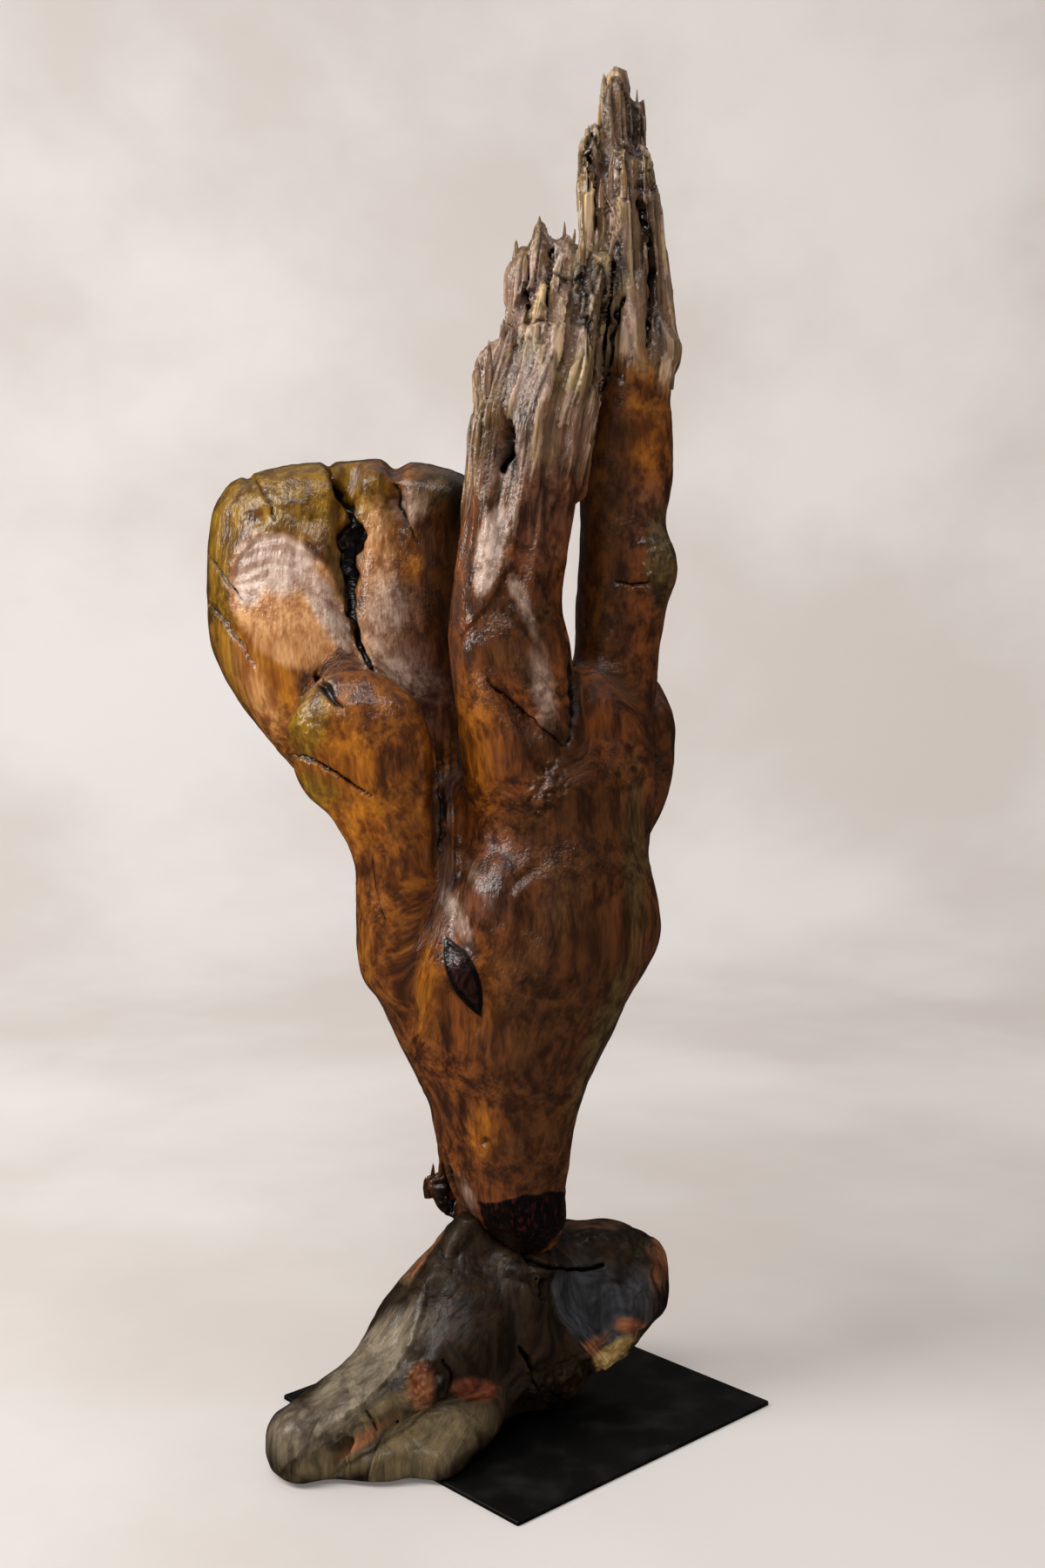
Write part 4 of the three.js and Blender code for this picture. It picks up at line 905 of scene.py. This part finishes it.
# The root: fibres fan out from under the muzzle
ROOT_LIMBS = {
    "arm": [(0, 0, 80, 70), (-81, -59, 86, 70), (-122, -88, 76, 66), (-162, -117, 58, 54),
            (-210, -152, 44, 46), (-250, -182, 36, 38)],
    "heel": [(0, 0, 45, 45), (-32, -50, 44, 45), (-70, -109, 34, 42), (-113, -176, 20, 35)],
    "peak": [(-45, -35, 30, 80), (-60, -38, 140, 60), (-62, -42, 220, 30)],
    "lobe": [(-20, 20, 110, 60), (40, 24, 116, 60), (80, 26, 120, 60), (116, 28, 127, 54),
             (150, 28, 136, 40)],
}
ROOT_CRACKS = {
    "check right of the ridge": ([(600, 1440, 1), (612, 1449, 2), (628, 1455, 2.6), (664, 1457, 1.6),
                                  (690, 1452, 0.6)], 9),
    "hole by the hollow": ([(618, 1470, 1), (621, 1482, 3), (623, 1492, 1)], 10),
    "crack under the face": ([(598, 1548, 1), (606, 1560, 2.4), (612, 1580, 2.4), (618, 1592, 1)], 9),
    "crack beside the knot": ([(510, 1560, 0.6), (520, 1580, 1.4), (514, 1600, 1)], 5),
    "fold of the groove": ([(421, 1618, 0.8), (428, 1630, 2), (436, 1640, 1)], 5),
}
ROOT_LEDGES = {
    "edge of the arm": ([(488, 1500), (474, 1545), (440, 1590), (400, 1625), (360, 1655),
                         (327, 1686)], -5.5, 34),
    "foot of the groove": ([(520, 1600), (504, 1608), (470, 1634), (430, 1662), (372, 1698)], -4.5, 26),
    "rim of the hollow": ([(622, 1462), (660, 1460), (700, 1464), (728, 1482), (736, 1512)], 4.0, 20),
    "broken rim": ([(732, 1524), (700, 1532), (672, 1552), (640, 1566), (616, 1572)], -3.0, 18),
}
ROOT_RIDGES = {  # with a height and a reach to both sides
    "left edge of the face": ([(536, 1402), (504, 1446), (482, 1496), (474, 1545)], 6.0, 20),
    "right edge of the face": ([(542, 1402), (576, 1434), (604, 1476), (606, 1530)], 4.5, 18),
    "ridge of the arm": ([(452, 1500), (420, 1560), (372, 1612), (332, 1644)], 4.0, 26),
    "ridge of the heel": ([(520, 1618), (486, 1640), (440, 1668), (404, 1692)], 4.0, 18),
    "ridge over the hollow": ([(600, 1430), (650, 1412), (700, 1420), (744, 1450)], 4.0, 18),
}
ROOT_CRUSTS = [
    ((486, 1592), (20, 30), 10, 5.0), ((668, 1574), (66, 20), -28, 4.4), ((744, 1460), (22, 50), -10, 3.0),
    ((612, 1578), (12, 26), 0, 4.0), ((700, 1425), (40, 10), 20, 1.4),
]
ROOT_TINTS = {
    # Silvery grey wood on the arm, partly a painted sheen where its top ridge catches the light.
    "silver_and_sheen": [("arm", (416, 1580), (28, 96), 42, 1.0), ("arm", (345, 1650), (40, 40), 0, 0.7),
               ("heel", (480, 1665), (70, 34), -20, 0.5)],
    "moss": [("arm", (440, 1625), (60, 18), -38, 0.8), ("heel", (470, 1660), (90, 40), -20, 0.9),
             ("arm", (380, 1680), (60, 18), -10, 0.7), ("peak", (470, 1450), (14, 60), 30, 0.6)],
    "rust": [("arm", (484, 1590), (16, 26), 0, 0.8), ("heel", (484, 1590), (16, 26), 0, 0.8),
             ("lobe", (660, 1562), (44, 12), -38, 0.9),
             ("lobe", (758, 1440), (14, 40), 0, 0.6), ("arm", (420, 1650), (50, 8), -38, 0.6),
             ("lobe", (722, 1522), (16, 10), 0, 0.9), ("peak", (486, 1440), (8, 40), 36, 0.6),
             ("lobe", (670, 1405), (60, 8), 0, 0.4)],
    "straw": [("lobe", (688, 1566), (48, 11), -38, 1.0), ("lobe", (620, 1592), (26, 14), 0, 0.6)],
    "slate": [("lobe", (670, 1500), (60, 46), 0, 1.0), ("lobe", (730, 1490), (24, 36), 0, 0.7)],
    "knot": [("arm", (545, 1595), (26, 13), 5, 1.0), ("heel", (545, 1595), (26, 13), 5, 1.0),
             ("peak", (545, 1595), (26, 13), 5, 1.0)],
    # Painted shade under the muzzle and in the dark gap under the face.
    "dark_wood_and_shade": [("peak", (560, 1416), (30, 14), 0, 0.4), ("lobe", (610, 1570), (12, 26), 0, 0.7)],
}


def work_root(skin):
    """Works the relief into the skin, and returns what the finish needs to know of each point."""
    figure = figure_places(skin.places)
    shares, fibre = limb_shares(figure, ROOT_LIMBS)
    sheet = on_sheet(skin.places)
    front = front_share(skin)
    off_floor = rise(figure[:, 2], 7, 16)

    warp = np.column_stack([9 * noise(figure, 50, 41), 9 * noise(figure, 50, 42), 9 * noise(figure, 50, 43)])
    run = fibre + warp
    broad = ridges(run, (20, 20, 120), 44)
    thin = ridges(run, (7, 7, 60), 45)
    skin.swell((2.6 * (broad - 0.6) + 1.2 * (thin - 0.6)) * off_floor * (1 - 0.6 * shares["arm"]))

    ragged = sheet + np.column_stack([3 * noise(figure, 11, 48), 3 * noise(figure, 11, 49)])
    height = np.zeros(skin.count)
    lumps = noise(figure, 9, 46) + 0.6 * noise(figure, 5, 47)
    for middle, radii, turn, size in ROOT_CRUSTS:
        height += size * lumps * patch(ragged, middle, radii, turn, 0.4)
    height += 4.0 * patch(sheet, (545, 1595), (24, 11), 5, 0.25)
    height -= 6.0 * patch(sheet, (668, 1500), (48, 32), -10, 0.6)
    for line, rib, reach in ROOT_RIDGES.values():
        away, _, _ = line_distance(ragged, [(x, y, 0) for x, y in line])
        height += rib * rise(away, reach, 0)
    height += ledge_heights(ragged, ROOT_LEDGES, 1.5)
    cut = np.zeros(skin.count)
    for line, depth in ROOT_CRACKS.values():
        away, _, width = line_distance(ragged, line)
        cut = np.maximum(cut, depth * rise(away, width + 1.8, width * 0.3) * front)
    skin.swell((height * front - cut) * off_floor)

    tints = tint_marks(sheet, front, shares, ROOT_TINTS, 0.6, (0.05, 0.4))
    # Cracks are drawn dark where they cut deep: painted shade.
    tints["dark_wood_and_shade"] = np.maximum(tints["dark_wood_and_shade"], rise(cut, 1.5, 6))
    tints["silver_and_sheen"] = np.maximum(tints["silver_and_sheen"], 0.5 * shares["arm"] * (1 - front))
    # The root's furrows are drawn darker: painted shade.
    furrow = rise(1 - 0.6 * broad - 0.4 * thin, 0.6, 0.95)
    tints["crevice_shade"] = 0.6 * furrow * off_floor * (1 - 0.6 * shares["heel"])
    return {"fibre": fibre, **tints}


ROOT_COLOURS = {  # [plain colour, flecked colour, how much the grain breaks its edge]
    "silver_and_sheen": ("#6e614f", "#988a74", 0.5),
    "moss": ("#5c4e36", "#7d6c4c", 0.4),
    "slate": ("#2b2c30", "#4c4e54", 0.5),
    "straw": ("#ac8648", "#d8b87c", 0.5),
    "rust": ("#7c4426", "#ac7048", 0.7),
    "knot": ("#5e2c1a", "#8a4a32", 0.2),
}


def root_driftwood():
    """Weathered root wood, brushed and oiled thin: dark brown, silvery where worn and partly as a painted
    sheen, with a dull satin sheen and painted shade in its hollows.
    """
    finish, tree = new_finish("root_driftwood")
    read = {name: add(tree, "Attribute", attribute_name=name).outputs["Fac"]
            for name in [*ROOT_COLOURS, "dark_wood_and_shade", "crevice_shade"]}
    fibre = add(tree, "Attribute", attribute_name="fibre").outputs["Vector"]
    grain = grain_patterns(tree, fibre, {
        "hair": (1.6, 30, 3), "streak": (4, 50, 4), "mottle": (14, 22, 5), "patch": (34, 50, 4),
        "fleck": (5, 8, 4), "pitted": (3.2, 3.6, 3),
    })
    tone = add(tree, "Math", {0: grain["fleck"], 1: 0.5, 2: grain["mottle"]}, **TIMES_PLUS).outputs[0]
    step = {}
    for name, value, low, high in [
            ("blotched", tone, 0.55, 0.95), ("hair", grain["hair"], 0.3, 0.7),
            ("dark_wood_and_shade", read["dark_wood_and_shade"], 0.25, 0.9)]:
        step[name] = add(tree, "MapRange", {0: value, 1: low, 2: high}, **SMOOTH).outputs[0]
    blotched = step["blotched"]
    wood = add(tree, "Mix", {0: blotched, 6: linear("#1c130a"), 7: linear("#3a2a17")}, **COLOURS).outputs[2]
    colour = tinted(tree, wood, ROOT_COLOURS, read, grain, tone, blotched)
    shade = add(tree, "MapRange", {0: step["hair"], 3: 0.8, 4: 1.12}).outputs[0]
    # Painted shade is laid over the furrows and the hollows.
    for share, over, blend in [
            (1.0, shade, DARKEN), (read["crevice_shade"], linear("#1a120b"), COLOURS),
            (step["dark_wood_and_shade"], linear("#0d0a07"), COLOURS)]:
        colour = add(tree, "Mix", {0: share, 6: colour, 7: over}, **blend).outputs[2]
    hair = add(tree, "Math", {0: grain["hair"], 1: 0.6, 2: grain["streak"]}, **TIMES_PLUS).outputs[0]
    height = add(tree, "Math", {0: grain["pitted"], 1: 0.8, 2: hair}, **TIMES_PLUS).outputs[0]
    bump = add(tree, "Bump", {"Strength": 0.6, "Distance": 0.7 * MM, "Height": height})
    rough = add(tree, "MapRange", {0: grain["mottle"], 3: 0.42, 4: 0.66})
    sheen = add(tree, "MapRange", {0: read["silver_and_sheen"], 3: 0.16, 4: 0.8})
    wood = add(tree, "BsdfPrincipled", {
        "Base Color": colour, "Roughness": rough.outputs[0], "IOR": 1.5, "Specular IOR Level": 0.2,
        "Coat Weight": sheen.outputs[0], "Coat Roughness": 0.22, "Normal": bump.outputs[0],
        "Coat Normal": bump.outputs[0],
    })
    add(tree, "OutputMaterial", {"Surface": wood.outputs[0]})
    return finish


def make_root():
    piece, skin = even_skin("root_base", "worn_root", ROOT_SKIN, 40)
    facts = work_root(skin)
    set_places(skin.mesh, in_box(skin.places, "root_base"))
    keep(skin.mesh, facts)
    thin_out(piece, ROOT_TRIANGLES)
    piece.data.materials.clear()
    piece.data.materials.append(root_driftwood())
    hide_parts("root_base")
    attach(piece, "root")
    return piece


def blackened_steel():
    """Hot-rolled steel sheet, blackened and waxed: near black and satin, with faint smudges and specks."""
    finish, tree = new_finish("blackened_steel")
    place = add(tree, "TexCoord").outputs["Object"]
    smudge = add(tree, "TexNoise", {"Vector": place, "Scale": 1 / (55 * MM), "Detail": 5.0}).outputs["Fac"]
    speck = add(tree, "TexNoise", {"Vector": place, "Scale": 1 / (3 * MM), "Detail": 3.0}).outputs["Fac"]
    smudged = add(tree, "MapRange", {0: smudge, 1: 0.45, 2: 0.72}, **SMOOTH).outputs[0]
    specked = add(tree, "MapRange", {0: speck, 1: 0.68, 2: 0.78}, **SMOOTH).outputs[0]
    colour = add(tree, "Mix", {0: smudged, 6: linear("#0d0d0d"), 7: linear("#211f1d")}, **COLOURS).outputs[2]
    colour = add(tree, "Mix", {0: specked, 6: colour, 7: linear("#3a3733")}, **COLOURS).outputs[2]
    rough = add(tree, "MapRange", {0: smudge, 1: 0.35, 2: 0.7, 3: 0.45, 4: 0.65})
    bump = add(tree, "Bump", {"Strength": 0.2, "Distance": 0.1 * MM, "Height": speck})
    steel = add(tree, "BsdfPrincipled", {
        "Base Color": colour, "Roughness": rough.outputs[0], "Specular IOR Level": 0.25,
        "Normal": bump.outputs[0],
    })
    add(tree, "OutputMaterial", {"Surface": steel.outputs[0]})
    return finish


def finish_plate():
    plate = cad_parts["steel_plate"]
    plate.data.materials.clear()
    plate.data.materials.append(blackened_steel())


# The studio

def pale_cove():
    """Painted canvas floor that curves up all round, in a warm pale grey."""
    RINGS = 48
    TURNS = 96
    FLAT, RADIUS, TOP = 2.4, 4.6, 3.6  # metres
    profile = [(FLAT * i / 8, 0.0) for i in range(9)]
    for i in range(1, RINGS + 1):
        swing = math.pi / 2 * i / RINGS
        profile.append((FLAT + (RADIUS - FLAT) * math.sin(swing), TOP * (1 - math.cos(swing))))
    verts = [(r * math.cos(t), r * math.sin(t), h)
             for r, h in profile[1:] for t in (2 * math.pi * k / TURNS for k in range(TURNS))]
    verts.append((0.0, 0.0, 0.0))
    faces = []
    for ring in range(len(profile) - 2):
        for k in range(TURNS):
            a, b = ring * TURNS + k, ring * TURNS + (k + 1) % TURNS
            faces.append((b, a, a + TURNS, b + TURNS))
    faces += [(len(verts) - 1, k, (k + 1) % TURNS) for k in range(TURNS)]
    mesh = bpy.data.meshes.new("studio_cove")
    mesh.from_pydata(verts, [], faces)
    mesh.polygons.foreach_set("use_smooth", [True] * len(mesh.polygons))
    cove = new_piece("studio_cove", mesh)
    finish, tree = new_finish("painted_canvas")
    place = add(tree, "TexCoord").outputs["Object"]
    cloud = add(tree, "TexNoise", {"Vector": place, "Scale": 0.9, "Detail": 6.0}).outputs["Fac"]
    cloudy = add(tree, "MapRange", {0: cloud, 1: 0.35, 2: 0.65}, **SMOOTH).outputs[0]
    colour = add(tree, "Mix", {0: cloudy, 6: linear("#dcd5d0"), 7: linear("#ece9e7")}, **COLOURS).outputs[2]
    paint = add(tree, "BsdfPrincipled", {
        "Base Color": colour, "Roughness": 1.0, "Specular IOR Level": 0.0,
        "Emission Color": colour, "Emission Strength": 0.13,
    })
    # Painted reflection: in glossy rays the canvas is drawn dark grey instead of pale, so the varnish mirrors
    # a dark surround that is not in the scene.
    dark_in_reflections = add(tree, "BsdfDiffuse", {"Color": linear("#2c2a28")})
    mirrored = add(tree, "LightPath").outputs["Is Glossy Ray"]
    canvas = add(tree, "MixShader", {0: mirrored, 1: paint.outputs[0], 2: dark_in_reflections.outputs[0]})
    add(tree, "OutputMaterial", {"Surface": canvas.outputs[0]})
    mesh.materials.append(finish)


def soft_box(name, place, target, size, watts, tone="#ffffff"):
    light = bpy.data.lights.new(name, "AREA")
    light.shape = "RECTANGLE"
    light.size, light.size_y = size
    light.energy = watts
    light.color = linear(tone)[:3]
    lamp = bpy.data.objects.new(name, light)
    bpy.context.scene.collection.objects.link(lamp)
    lamp.location = place
    aim = np.array(target) - np.array(place)
    across = math.atan2(aim[1], aim[0]) - math.pi / 2
    dip = math.atan2(math.hypot(aim[0], aim[1]), -aim[2])
    lamp.rotation_euler = (dip, 0, across)


def light_studio():
    right, ahead, _ = eye_axes()
    level = np.array([ahead[0], ahead[1], 0]) / math.hypot(ahead[0], ahead[1])

    def at(sideways, forward, up):
        return tuple(sideways * right + forward * level + np.array([0, 0, up]))

    soft_box("left_window", at(-2.2, -0.9, 2.3), (0, 0, 0.8), (1.1, 1.5), 52, "#fffaf4")
    soft_box("top_front", at(-0.4, -1.8, 2.9), (0, 0, 0.9), (1.2, 0.8), 16)
    soft_box("back_wash", at(-1.2, 1.2, 3.3), at(-1.8, 4.0, 1.9), (2.0, 1.2), 38)
    world = bpy.data.worlds.new("studio_air")
    bpy.context.scene.world = world
    world.use_nodes = True
    world.node_tree.nodes["Background"].inputs[0].default_value = linear("#f4f0ec")
    world.node_tree.nodes["Background"].inputs[1].default_value = 0.32
    bpy.context.scene.view_settings.view_transform = "Standard"


def set_camera():
    data = bpy.data.cameras.new("front_view")
    data.lens = LENS
    data.sensor_width = 36
    camera = bpy.data.objects.new("front_view", data)
    bpy.context.scene.collection.objects.link(camera)
    camera.location = EYE_PLACE * MM
    camera.rotation_euler = (math.radians(90 - EYE_DIP), 0, math.radians(EYE_TURN))
    bpy.context.scene.camera = camera


set_camera()
light_studio()
pale_cove()
finish_plate()
make_root()
make_antelope()
